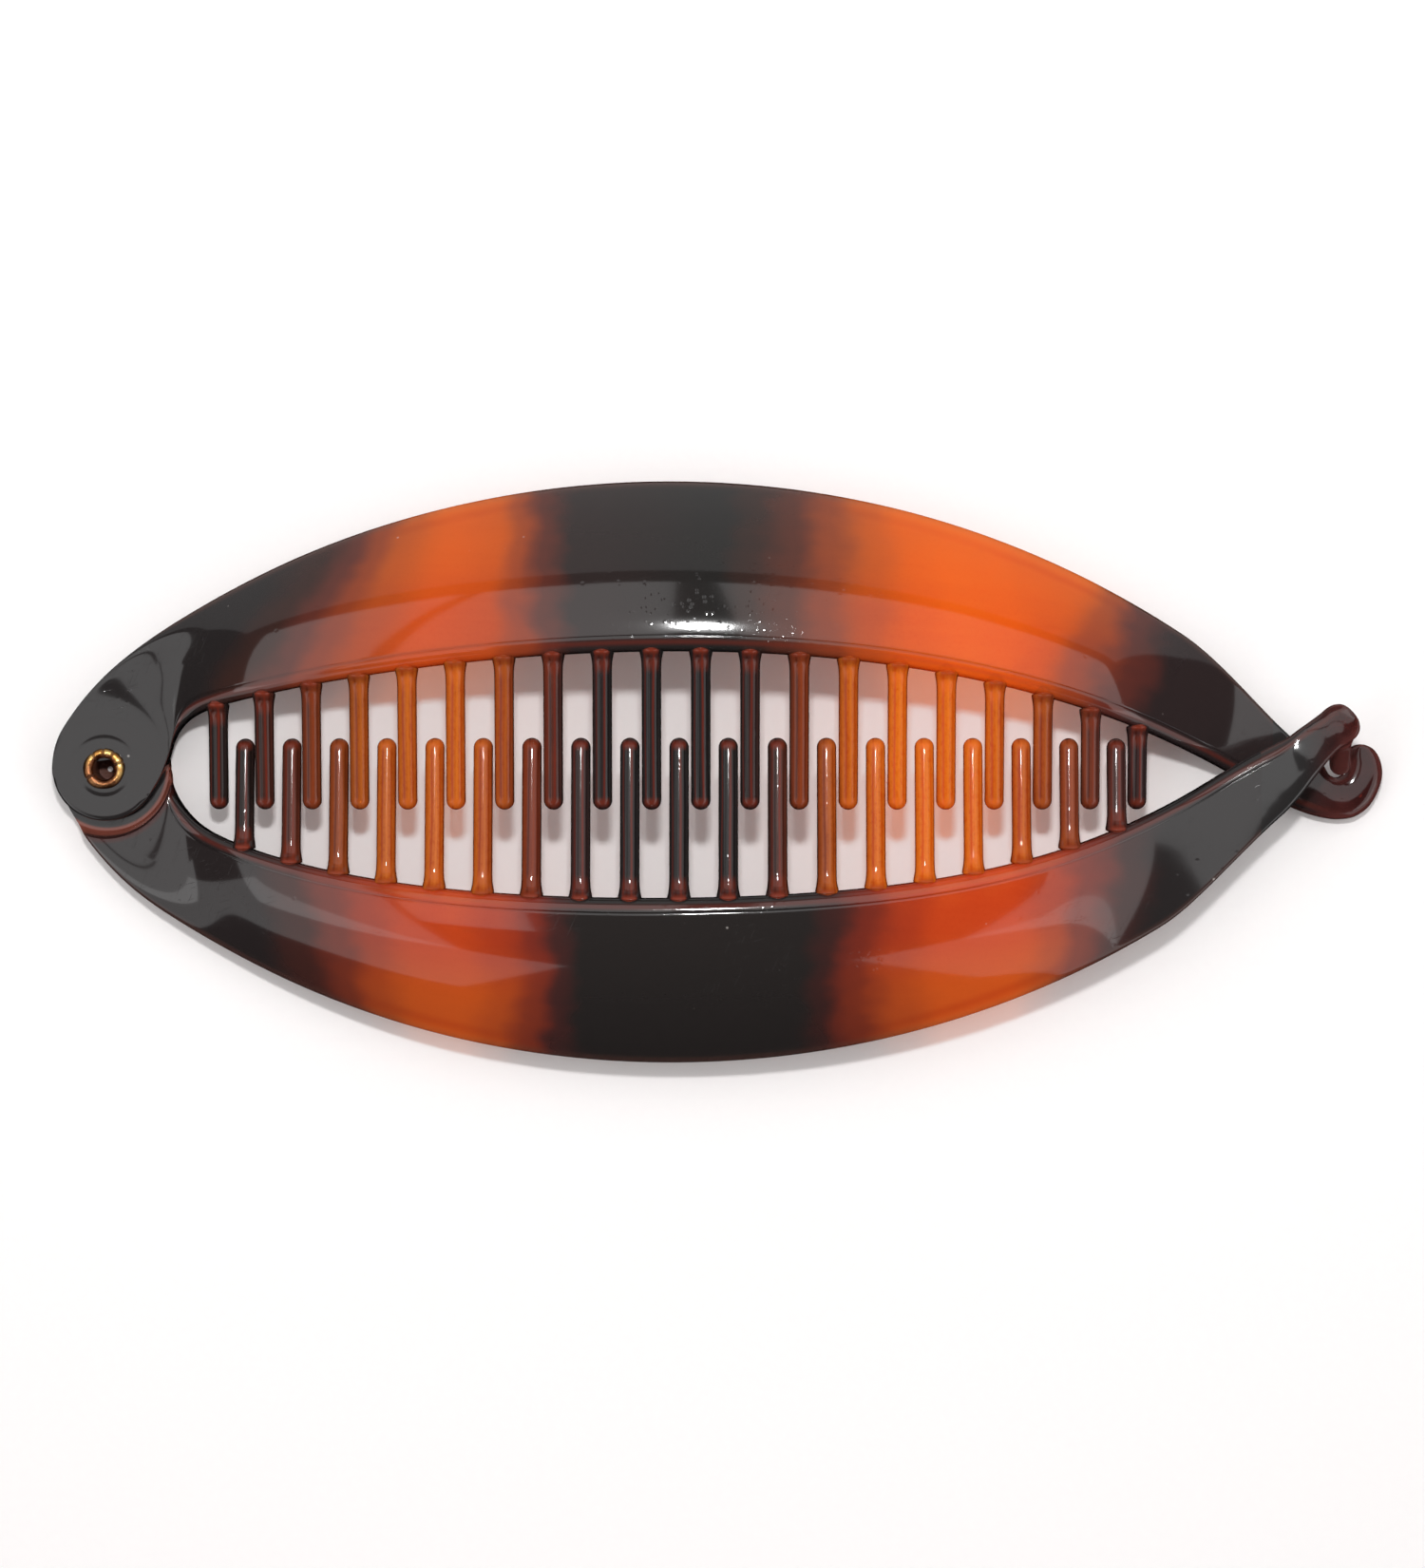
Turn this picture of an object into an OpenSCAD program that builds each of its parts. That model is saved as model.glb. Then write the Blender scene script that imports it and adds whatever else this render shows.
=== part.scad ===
// Interlocking comb clip (fish-shaped banana clip): two arched arms with comb teeth, pinned
// together by a hollow eyelet at one end and crossing at a catch at the other.
// Millimetres. +X runs from the hinge to the tail, +Z is up from the table, and the origin is
// on the hinge's axis at the table.

/* [Overall] */
// Length from the hinge end to the end of the tail hook
clip_length = 148.8; // [130:0.2:180]
// Height of the arch's ridge above the table
arch_height = 19; // [15:0.5:23]
// How far the upper arm's outer edge stands off the hinge line
upper_rise = 31.9; // [26:0.1:38]
// How far the lower arm's outer edge stands off the hinge line
lower_rise = 32.6; // [26:0.1:38]

/* [Arms] */
// Wall of the moulded arms
wall = 2; // [1.4:0.1:2.6]
// Depth of the turned-down lip along the opening
lip_depth = 3.4; // [2.8:0.1:4.2]
// Width of the rounded lip in front of the face
lip_width = 1.5; // [1.2:0.1:1.8]
// Thickness of the lip
lip_wall = 1.7; // [1.4:0.1:2.2]
// Height of the outer edge at mid length
edge_height = 6.8; // [5:0.1:9]
// Bow of the upper arm's inner edge over its chord
upper_bow = 9.3; // [8:0.1:11]
// Bow of the lower arm's inner edge over its chord
lower_bow = 10.4; // [8.8:0.1:12.4]
// How far the bows lean towards the tail
bow_skew = 2.1; // [0:0.1:3]
// Extra fullness of the upper arm's bow near its ends
upper_full = 1.3; // [0:0.1:3]
// Extra fullness of the lower arm's bow near its ends
lower_full = 4.7; // [2:0.1:5.5]

/* [Hinge] */
// Distance from the hinge's axis to the near end of the opening
opening_start = 7.2; // [7:0.1:8.5]
// Radius of each arm's round boss
boss_r = 5.8; // [5:0.1:7]
// Thickness of each boss
boss_t = 2.35; // [2:0.05:2.8]
// Gap between the two bosses
boss_gap = 0.1; // [0.08:0.01:0.2]
// Gap round the upper boss in the lower arm's recess
recess_gap = 1.1; // [0.8:0.1:1.6]
// Radius of the eyelet's bore
eyelet_bore_r = 1.2; // [1:0.05:1.3]
// Wall of the eyelet's shank
eyelet_wall = 0.45; // [0.35:0.05:0.5]
// Radial clearance of the shank in the bosses
pin_clearance = 0.05; // [0.03:0.01:0.08]
// Radius of the eyelet's rolled rim
rim_r = 2.3; // [2.1:0.05:2.6]
// Thickness of the eyelet's bottom flange
flange_t = 0.4; // [0.3:0.05:0.5]
// Gap under the rolled rim and over the flange
rim_gap = 0.05; // [0.04:0.01:0.08]

/* [Comb] */
// Number of teeth on the upper arm; the lower arm has one less
teeth = 20; // [14:1:20]
// Diameter of a tooth
tooth_d = 2.1; // [1.6:0.1:2.1]
// Distance from the hinge to the first upper tooth
comb_start = 13; // [12.4:0.1:16]
// Distance from the last upper tooth to the end of the tail hook
comb_tail = 28.3; // [26:0.1:34]
// How far each lower tooth stands from the upper tooth on its tail side
tooth_offset = 2.36; // [2.3:0.02:2.6]
// How far the upper teeth reach past the hinge line
upper_reach = 4.5; // [3:0.1:5.5]
// How far the lower teeth reach past the hinge line
lower_reach = 3.35; // [2:0.1:4.5]
// Downward slope of the teeth, in degrees
tooth_slope = 6; // [4:0.5:12]

/* [Catch] */
// Radius of the round paddle at the upper arm's tail
paddle_r = 4.65; // [4:0.05:5.4]
// Thickness of the paddle
paddle_t = 3.2; // [2.6:0.1:3.8]
// Distance of the paddle's centre below the hinge line
paddle_drop = 1; // [0.5:0.1:2]
// Width of the hook's notch
notch_w = 3.2; // [2.8:0.1:3.6]
// Depth of the notch below the hinge line
notch_depth = 1.3; // [0.6:0.1:2]
// Diameter of the catch finger
finger_d = 2.4; // [1.9:0.1:2.5]
// Gap between the finger and the paddle when the clip is closed but not latched
finger_gap = 0.35; // [0.3:0.05:0.6]
// Height of the lower arm's tail where it crosses over the upper arm
tail_height = 10.4; // [9:0.1:12]
// How far the thumb tab turns up at its end
tab_turn_up = 2.2; // [1:0.1:3]
// Width of the thumb tab
tab_w = 5; // [4:0.1:6]
// How far the thumb tab's end stands off the hinge line
tab_side = 4.3; // [3.5:0.1:5]

/* [Hidden] */
$fn = 48;
tail_x = clip_length - boss_r;            // end of the tail hook
cross_x = tail_x - 18.2;                  // where the inner edges cross
open_x = opening_start + 4.6;             // where the opening's rounded near end stops
upper_open = 6.7;                         // width of the opening there, above the hinge line
lower_open = 7.1;                         // and below it
ridge_x = tail_x * 0.465;                 // highest point of the arch
upper_base = boss_t + boss_gap;           // underside of the upper boss
hinge_top = upper_base + boss_t;          // face of the upper boss
arch_sag = arch_height - hinge_top;
arch_r = (pow(ridge_x, 2) + pow(arch_sag, 2)) / (2 * arch_sag);
edge_end_r = 32.3;                        // round of the outer edge by the hinge
edge_sink = 4.7;                          // how far past the hinge line the main arc is aimed
edge_peak_x = tail_x * 0.441;             // widest point of the outline
climb = [3, 13];                          // start and length of the arms' climb from the hinge
upper_fall = [32, 25];                    // the same for the upper arm's fall to the paddle, from tail_x
lower_fall = [39, 29];                    // and for the lower arm's fall to its tail's height
upper_rim_run = [30, 54, 46];             // an edge's climb, its run before tail_x, and that run's length
lower_rim_run = [40, 84, 60];
lower_dip = [1.2, 60];                    // how far the lower ridge starts under the arch, and over what
rim_dip = 0.8;                            // how far the lower arm's edge starts under the hinge's face
tail_rim_drop = 0.4;                      // how far it ends under the tail's face
shank_r = eyelet_bore_r + eyelet_wall;
hole_r = shank_r + pin_clearance;
recess_r = boss_r + recess_gap;
flange_room = 0.1;                        // gap round the eyelet's flange in its counterbore
paddle_x = tail_x - paddle_r;
notch_x = paddle_x - 0.6;                 // middle of the notch
bulb_drop = 0.9;                          // how far the hook's round end reaches below the hinge line
shell_into_paddle = 3.5;                  // where the arms' shells end, short of the paddle's centre
shell_into_tab = 5;
tab_root_x = paddle_x - 7;                // middle of the thumb tab's round root
tab_end_x = paddle_x - 1.8;               // and of its round end
tab_inset = 1.5;                          // how much narrower the root is than the shell
tab_sink = 0.1;                           // how far the tab's face lies under the shell's
finger_top = [notch_x - 0.8, 3.4, tail_height - wall + 0.6];
ring_overlap = 0.6;                       // how far an arm's shell runs into its boss
tooth_r = tooth_d / 2;
tooth_root = 0.9;                         // how far a tooth runs into the lip
tooth_sink = 0.3;                         // how far below the lip's middle a tooth starts
last_tooth_x = tail_x - comb_tail;
pitch = (last_tooth_x - comb_start) / (teeth - 1);
hinge_steps = 16;                         // stations round the hinge end
arm_steps = 46;                           // stations along an arm
crown = [0.2, 0.4, 0.6, 0.8, 0.95];       // places across the face
face_slope = 0.17;                        // share of the face's fall that is straight

function mix(a, b, t) = a + (b - a) * t;
function ease(t) = let (c = max(0, min(1, t))) c * c * (3 - 2 * c);

// Height of the arch's circle above the table.
function arch(x) = arch_height - arch_r + sqrt(pow(arch_r, 2) - pow(x - ridge_x, 2));

// The outer edge is the boss's circle, a tangent end arc and a long main arc that turns in at the
// tail. An arm's edge is [rise, how far it turns in, how far before the tail's end, over what length].
upper_edge = [upper_rise, 6.2, 23, 26];
lower_edge = [lower_rise, 2.8, 26, 14];
function edge_r(edge) =
    let (run = tail_x - edge_peak_x, sink = edge[0] + edge_sink) (pow(run, 2) + pow(sink, 2)) / (2 * sink);
function main_centre(edge) = [edge_peak_x, edge[0] - edge_r(edge)];
function end_centre(edge) =
    let (c = main_centre(edge),
         far = norm(c),
         r0 = edge_end_r - boss_r,
         r1 = edge_r(edge) - edge_end_r,
         along = (pow(r0, 2) - pow(r1, 2) + pow(far, 2)) / (2 * far),
         side = sqrt(max(0, pow(r0, 2) - pow(along, 2))),
         dir = c / far)
    along * dir + side * [-dir[1], dir[0]];
function outer_edge(x, edge) =
    let (r = edge_r(edge),
         c = main_centre(edge),
         e = end_centre(edge),
         main_from = e[0] + (e[0] - c[0]) * edge_end_r / (r - edge_end_r),
         boss_to = -e[0] * boss_r / norm(e))
    x < boss_to ? sqrt(max(0, pow(boss_r, 2) - x * x))
    : x < main_from ? e[1] + sqrt(pow(edge_end_r, 2) - pow(x - e[0], 2))
    : c[1] + sqrt(pow(r, 2) - pow(x - c[0], 2)) - edge[1] * ease((x - tail_x + edge[2]) / edge[3]);

// The inner edge is a bow over the chord from the opening's near end to the crossing.
// An arm's bow is [width at the near end, bow, fullness, straightening past the crossing].
function inner_edge(x, bow) =
    let (u = (x - open_x) / (cross_x - open_x), c = 2 * u - 1)
    bow[0] * (1 - u) + 4 * u * (1 - u) * (bow[1] + bow_skew * c + bow[2] * c * c)
        + bow[3] * pow(max(0, x - cross_x), 2);
// Round the hinge the inner edge runs out to the opening, then turns up a rounded corner.
run_out = 0.35;
corner = 0.85;
function inner_bend(t, bow) =
    t < run_out ? [opening_start * t / run_out, 0]
    : let (a = 90 * (t - run_out) / (1 - run_out),
           x = open_x - (open_x - opening_start) * pow(cos(a), corner),
           slope = inner_edge(open_x + 1, bow) - bow[0])
      [x, (bow[0] + slope * (x - open_x)) * pow(sin(a), corner)];
upper_inner = [upper_open, upper_bow, upper_full, 0];
lower_inner = [lower_open, lower_bow, lower_full, 0.045];

// Height of the face along the lip, and along the outer edge, for each arm.
function climbed(x) = ease((x - climb[0]) / climb[1]);
function fallen(x, run) = ease((x - tail_x + run[0]) / run[1]);
function upper_ridge(x) =
    mix(mix(hinge_top, arch(x), climbed(x)), paddle_t, fallen(x, upper_fall));
function upper_rim(x) =
    mix(mix(hinge_top, edge_height, ease(x / upper_rim_run[0])), paddle_t,
        ease((x - tail_x + upper_rim_run[1]) / upper_rim_run[2]));
function lower_ridge(x) =
    mix(mix(hinge_top, arch(x) - lower_dip[0] * (1 - ease(x / lower_dip[1])), climbed(x)), tail_height,
        fallen(x, lower_fall));
function lower_rim(x) =
    mix(mix(hinge_top - rim_dip, edge_height, ease(x / lower_rim_run[0])), tail_height - tail_rim_drop,
        ease((x - tail_x + lower_rim_run[1]) / lower_rim_run[2]));

// One cross-section, as [distance from the lip, height]. Thickness grows with the face's slope.
round_r = 0.4;                            // small rounds at the lip's corners
lip_shoulder = 1.2;                       // depth of the round at the lip's top
edge_round = 0.3;
function fall(v) = face_slope * v + (1 - face_slope) * v * v;
function section(w, ridge, rim, lip, t) =
    let (span = w - lip_width,
         slope = function(v) (ridge - rim) * (face_slope + 2 * (1 - face_slope) * v) / span,
         under = function(v) min(fall(v) * (ridge - rim) + t * sqrt(1 + pow(slope(v), 2)), ridge))
    concat(
        [[0, ridge - lip + round_r], [0, ridge - lip_shoulder], [round_r, ridge - round_r],
         [lip_width, ridge]],
        [for (v = crown) [lip_width + v * span, ridge - fall(v) * (ridge - rim)]],
        [[w, rim - edge_round], [w - edge_round, max(rim - t, 0)]],
        [for (i = [len(crown) - 2 : -1 : 0]) [lip_width + crown[i] * span, ridge - under(crown[i])]],
        [[lip_wall + edge_round, ridge - min(t, lip)], [lip_wall, ridge - lip], [round_r, ridge - lip]]);
function placed(inner, outer, s) =
    let (dir = (outer - inner) / norm(outer - inner)) [for (p = s) concat(inner + dir * p[0], p[1])];

// Stations of an arm on the +Y side: round the hinge end first, then along the arm.
function hinge_station(t, edge, bow, base, ridge, rim) =
    let (x = mix(-boss_r, open_x, t * t),
         inner = inner_bend(t, bow),
         outer = [x, outer_edge(x, edge)],
         grow = ease((t - run_out) / (1 - run_out)),
         boss_h = hinge_top - base)
    placed(inner, outer, section(norm(outer - inner), mix(hinge_top, ridge(open_x), grow),
        mix(hinge_top, rim(open_x), grow), mix(boss_h, lip_depth, grow), mix(boss_h, wall, grow)));
function arm_station(x, edge, bow, ridge, rim, end_t) =
    let (tail = fallen(x, upper_fall),
         inner = [x, inner_edge(x, bow)],
         outer = [x, outer_edge(x, edge)])
    placed(inner, outer, section(norm(outer - inner), ridge(x), rim(x), mix(lip_depth, end_t, tail),
        mix(wall, end_t, tail)));

// A closed skin over rings of points that all have the same number of points.
module skin(rings) {
    n = len(rings[0]);
    last = len(rings) - 1;
    polyhedron(
        points = [for (r = rings) each r],
        faces = concat(
            [[for (j = [0 : n - 1]) j]],
            [for (i = [0 : last - 1]) for (j = [0 : n - 1])
                let (a = i * n + j, b = i * n + (j + 1) % n) each [[a, a + n, b + n], [a, b + n, b]]],
            [[for (j = [n - 1 : -1 : 0]) last * n + j]]),
        convexity = 12);
}

module arm(edge, bow, base, ridge, rim, end_x, end_t) {
    skin(concat(
        [for (i = [0 : hinge_steps - 1]) hinge_station(i / hinge_steps, edge, bow, base, ridge, rim)],
        [for (i = [0 : arm_steps])
            arm_station(mix(open_x, end_x, i / arm_steps), edge, bow, ridge, rim, end_t)]));
}

// A rod that stands on the XY plane and ends in a half ball.
module rod(r, length) {
    rotate_extrude() intersection() {
        union() {
            translate([-r, 0]) square([2 * r, length]);
            translate([0, length]) circle(r = r);
        }
        square([r, length + r]);
    }
}

module upper_shell() {
    color([0.55, 0.2, 0.06]) difference() {
        arm(upper_edge, upper_inner, upper_base, function(x) upper_ridge(x), function(x) upper_rim(x),
            paddle_x - shell_into_paddle, paddle_t);
        translate([0, 0, -1]) cylinder(r = boss_r - ring_overlap, h = hinge_top + 2);
    }
}

module upper_boss() {
    color([0.12, 0.07, 0.05]) difference() {
        translate([0, 0, upper_base]) cylinder(r = boss_r, h = boss_t);
        translate([0, 0, upper_base - 1]) cylinder(r = hole_r, h = boss_t + 2);
    }
}

module tail_hook() {
    bulb_r = (tail_x - notch_x - notch_w / 2) / 2;
    color([0.25, 0.05, 0.03]) difference() {
        union() {
            translate([paddle_x, -paddle_drop, 0]) cylinder(r = paddle_r, h = paddle_t);
            translate([tail_x - bulb_r, bulb_r - bulb_drop, 0]) cylinder(r = bulb_r, h = paddle_t);
        }
        translate([notch_x, notch_w / 2 - notch_depth, -1]) cylinder(r = notch_w / 2, h = paddle_t + 2);
        translate([notch_x - notch_w / 2, notch_w / 2 - notch_depth, -1])
            cube([notch_w, paddle_r * 2, paddle_t + 2]);
    }
}

module lower_shell() {
    color([0.55, 0.17, 0.07]) difference() {
        mirror([0, 1, 0])
            arm(lower_edge, lower_inner, 0, function(x) lower_ridge(x), function(x) lower_rim(x),
                paddle_x - shell_into_tab, wall);
        translate([0, 0, boss_t]) cylinder(r = recess_r, h = arch_height);
        translate([0, 0, -1]) cylinder(r = boss_r - ring_overlap, h = hinge_top + 2);
    }
}

module lower_boss() {
    color([0.12, 0.07, 0.05]) difference() {
        cylinder(r = boss_r, h = boss_t);
        translate([0, 0, -1]) cylinder(r = hole_r, h = boss_t + 2);
        translate([0, 0, -1]) cylinder(r = rim_r + flange_room, h = 1 + flange_t + rim_gap);
    }
}

module thumb_tab() {
    edges = [outer_edge(tab_root_x, lower_edge), inner_edge(tab_root_x, lower_inner)];
    under = tail_height - wall;
    color([0.25, 0.06, 0.04]) hull() {
        translate([tab_root_x, -(edges[0] + edges[1]) / 2, under])
            cylinder(d = edges[0] - edges[1] - tab_inset, h = wall - tab_sink, $fn = 32);
        translate([tab_end_x, tab_side, under + tab_turn_up])
            cylinder(d = tab_w, h = wall - tab_sink, $fn = 32);
    }
}

module catch_finger() {
    low = [notch_x, 0.6, paddle_t + finger_gap + finger_d / 2];
    run = low - finger_top;
    color([0.3, 0.06, 0.04]) translate(finger_top)
        rotate([0, acos(run[2] / norm(run)), atan2(run[1], run[0])]) rod(finger_d / 2, norm(run));
}

module hinge_eyelet() {
    top = hinge_top + rim_gap;
    curl = (rim_r - eyelet_bore_r) / 2;
    color([0.85, 0.65, 0.3]) rotate_extrude($fn = 64) union() {
        translate([eyelet_bore_r, 0]) square([eyelet_wall, top + curl]);
        translate([eyelet_bore_r, 0]) square([rim_r - eyelet_bore_r, flange_t]);
        intersection() {
            translate([eyelet_bore_r + curl, top]) circle(r = curl, $fn = 32);
            translate([eyelet_bore_r, top]) square([2 * curl, curl]);
        }
    }
}

// Teeth leave the lip's middle height and slope down to their tips.
module tooth(x, root_y, tip_y, ridge) {
    root_z = ridge - lip_depth / 2 - tooth_sink;
    length = (abs(tip_y - root_y) - tooth_r) / cos(tooth_slope);
    color([0.6, 0.3, 0.08]) translate([x, root_y, root_z])
        rotate([tip_y < root_y ? 90 + tooth_slope : -90 - tooth_slope, 0, 0]) rod(tooth_r, length);
}

module upper_tooth(i) {
    x = comb_start + (i - 1) * pitch;
    tooth(x, inner_edge(x, upper_inner) + tooth_root, -upper_reach, upper_ridge(x));
}

module lower_tooth(i) {
    x = comb_start + i * pitch - tooth_offset;
    tooth(x, -inner_edge(x, lower_inner) - tooth_root, lower_reach, lower_ridge(x));
}

upper_shell();
upper_boss();
tail_hook();
lower_shell();
lower_boss();
thumb_tab();
catch_finger();
hinge_eyelet();
for (i = [1 : teeth]) upper_tooth(i);
for (i = [1 : teeth - 1]) lower_tooth(i);
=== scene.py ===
"""Interlocking comb clip: two tortoiseshell arms with comb teeth, a brass eyelet and a tail catch.

Lengths inside the classes are millimetres, +X runs from the hinge to the tail and +Z is up from the
table. Every mesh is turned into metres as it is made, and lies where the CAD frame has its node.
"""

import logging
import math
from dataclasses import dataclass
from enum import Enum
from typing import Any, Callable, Sequence

import bmesh
import bpy
import numpy as np
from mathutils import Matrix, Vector


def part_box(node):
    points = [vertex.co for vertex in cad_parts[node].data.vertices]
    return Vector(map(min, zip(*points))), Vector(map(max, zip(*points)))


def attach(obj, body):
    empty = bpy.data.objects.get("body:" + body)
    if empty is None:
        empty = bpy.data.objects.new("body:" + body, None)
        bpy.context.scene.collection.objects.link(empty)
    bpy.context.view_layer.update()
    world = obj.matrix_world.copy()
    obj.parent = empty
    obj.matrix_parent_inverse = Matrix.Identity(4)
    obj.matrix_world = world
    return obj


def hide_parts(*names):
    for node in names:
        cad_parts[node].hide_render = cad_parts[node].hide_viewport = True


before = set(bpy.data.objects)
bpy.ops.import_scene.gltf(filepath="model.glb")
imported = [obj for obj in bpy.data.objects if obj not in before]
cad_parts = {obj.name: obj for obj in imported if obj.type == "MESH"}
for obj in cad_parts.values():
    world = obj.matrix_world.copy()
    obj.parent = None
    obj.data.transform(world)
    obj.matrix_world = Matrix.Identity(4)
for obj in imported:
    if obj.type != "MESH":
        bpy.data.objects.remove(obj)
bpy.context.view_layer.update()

LOG = logging.getLogger("comb_clip")
MM = 0.001
Array = np.ndarray
Colour = tuple[int, int, int]
Curve = Callable[[Array], Array]
RING = np.radians(np.linspace(0, 360, 33)[:-1])


class Side(Enum):
    """Which side of the hinge line an arm is on."""

    UPPER = 1
    LOWER = -1


# ------------------------------------------------------------------ numbers and curves


def ease(t: Any) -> Any:
    """Smooth step: 3t^2 - 2t^3 with t held between 0 and 1."""
    t = np.clip(t, 0.0, 1.0)
    return t * t * (3 - 2 * t)


def mix(a: Any, b: Any, t: Any) -> Any:
    """Straight blend from a to b."""
    return a + (b - a) * t


def srgb(red: int, green: int, blue: int) -> tuple[float, float, float, float]:
    """A display colour of 0 to 255 as a linear shader colour."""
    c = np.array([red, green, blue]) / 255
    lin = np.where(c <= 0.04045, c / 12.92, ((c + 0.055) / 1.055) ** 2.4)
    return (float(lin[0]), float(lin[1]), float(lin[2]), 1.0)


def quarter(count: int) -> Array:
    """Even angles over a quarter turn, in radians."""
    return np.radians(np.linspace(0, 90, count))


def polar(radius: Any, degrees: Any) -> Array:
    """Points at a radius and an angle, as an array that ends in (x, y)."""
    a = np.radians(degrees)
    return np.stack([radius * np.cos(a), radius * np.sin(a)], -1)


def even_path(points: Array, count: int) -> Array:
    """Resamples a polyline to points an even arc length apart.

    Args:
        points: the polyline, one point a row.
        count: how many points come back.

    Returns:
        The resampled points: each coordinate interpolated over the running length.
    """
    run = np.concatenate([[0], np.cumsum(np.linalg.norm(np.diff(points, axis=0), axis=1))])
    at = np.linspace(0, run[-1], count)
    return np.stack([np.interp(at, run, points[:, k]) for k in range(points.shape[1])], -1)


def through(points: Sequence[Sequence[float]], at: Array) -> Array:
    """A smooth curve through points, read at places counted in points.

    Each span is a Catmull-Rom cubic: half of (2B + (C - A)t + (2A - 5B + 4C - D)t^2
    + (3B - A - 3C + D)t^3), with the end points mirrored outwards.

    Args:
        points: the points that the curve passes through.
        at: places from 0 at the first point to the number of points less 1 at the last.

    Returns:
        The curve's points at those places.
    """
    p = np.array(points, float)
    p = np.concatenate([[2 * p[0] - p[1]], p, [2 * p[-1] - p[-2]]])
    span = np.clip(np.floor(at).astype(int), 0, len(p) - 4)
    t = (at - span)[:, None]
    a, b, c, d = (p[span + k] for k in range(4))
    return 0.5 * (2 * b + (c - a) * t + (2 * a - 5 * b + 4 * c - d) * t**2 + (3 * b - a - 3 * c + d) * t**3)


def spline(points: Sequence[Sequence[float]], count: int) -> Array:
    """The same curve at points an even arc length apart."""
    return even_path(through(points, np.linspace(0, len(points) - 1, 40 * len(points))), count)


def soften(rows: Array, join: int, reach: int, passes: int) -> Array:
    """Evens out the rows of a grid near a join.

    Each pass moves a row half way towards the mean of its two neighbours, by a weight that fades from 1
    at the join to 0 at reach.

    Args:
        rows: the grid, rows by columns by values.
        join: the row in the middle.
        reach: how many rows to either side take part.
        passes: how many times.

    Returns:
        The smoothed grid.
    """
    out = rows.copy()
    weight = 0.5 * ease(1 - np.abs(np.arange(len(rows)) - join) / reach)[:, None, None]
    for _ in range(passes):
        mean = out.copy()
        mean[1:-1] = (out[:-2] + out[2:]) / 2
        out += (mean - out) * weight
    return out


# ------------------------------------------------------------------ meshes


def skin(name: str, grid: Array, wrap: bool = False, sharp: float = 40.0, **notes: Any) -> bpy.types.Object:
    """Makes a closed object from a grid of points, in metres, with its faces outwards.

    Neighbours are joined by quads, and every row closes on itself. The first and last rows either join
    each other or are each closed by a fan to their middle.

    Args:
        name: the object's name.
        grid: points in millimetres, rows by columns by 3.
        wrap: whether the last row joins the first.
        sharp: edges that turn by more than this many degrees are shaded sharp.
        notes: values a point, rows by columns, kept as mesh attributes.

    Returns:
        The new object, at the origin.
    """
    rows, cols = grid.shape[:2]
    index = np.arange(rows * cols).reshape(rows, cols)
    a, b = (index, np.roll(index, -1, 0)) if wrap else (index[:-1], index[1:])
    faces = np.stack([a, np.roll(a, -1, 1), np.roll(b, -1, 1), b], -1).reshape(-1, 4).tolist()
    ends = () if wrap else (0, -1)
    for number, row in enumerate(ends):
        centre = np.full(cols, rows * cols + number)
        faces += np.stack([index[row], np.roll(index[row], -1), centre], -1).tolist()
    points = np.concatenate([grid.reshape(-1, 3), *(grid[row].mean(0)[None] for row in ends)])
    mesh = bpy.data.meshes.new(name)
    mesh.from_pydata((points * MM).tolist(), [], faces)
    for key, value in notes.items():
        flat = np.broadcast_to(value, (rows, cols))
        values = np.concatenate([flat.reshape(-1), [flat[row].mean() for row in ends]])
        mesh.attributes.new(key, "FLOAT", "POINT").data.foreach_set("value", values.astype(np.float32))
    work = bmesh.new()
    work.from_mesh(mesh)
    bmesh.ops.remove_doubles(work, verts=work.verts, dist=1e-7)
    bmesh.ops.recalc_face_normals(work, faces=work.faces)
    work.to_mesh(mesh)
    work.free()
    mesh.polygons.foreach_set("use_smooth", np.ones(len(mesh.polygons), bool))
    mesh.set_sharp_from_angle(angle=math.radians(sharp))
    piece = bpy.data.objects.new(name, mesh)
    bpy.context.scene.collection.objects.link(piece)
    return piece


def around(angle: Array, *runs: tuple[Array, Array]) -> tuple[Array, Array, Array]:
    """Carries a profile round the hinge's axis.

    Args:
        angle: the angles in degrees, as a column.
        runs: radii and heights of each stretch of the profile, the same at every angle or a row for each.

    Returns:
        The grid of points, its radii and its heights.
    """
    r, z = (np.concatenate([np.broadcast_to(v, (len(angle), v.shape[1])) for v in values], 1)
            for values in zip(*runs))
    return np.concatenate([polar(r, angle), z[..., None]], -1), r, z


def settle(piece: bpy.types.Object, body: str, slot: str, material: bpy.types.Material, *nodes: str) -> None:
    """Dresses a piece, parents it to the body it rides on, and hides the CAD nodes that it replaces.

    Args:
        piece: the finished mesh object.
        body: the CAD body that carries it.
        slot: the name of a material slot; not used.
        material: the finish.
        nodes: the CAD nodes that it replaces.
    """
    piece.data.materials.append(material)
    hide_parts(*nodes)
    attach(piece, body)
    LOG.info("%s: %d faces on %s, for %s", piece.name, len(piece.data.polygons), body, ", ".join(nodes))


# ------------------------------------------------------------------ shader maths


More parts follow.
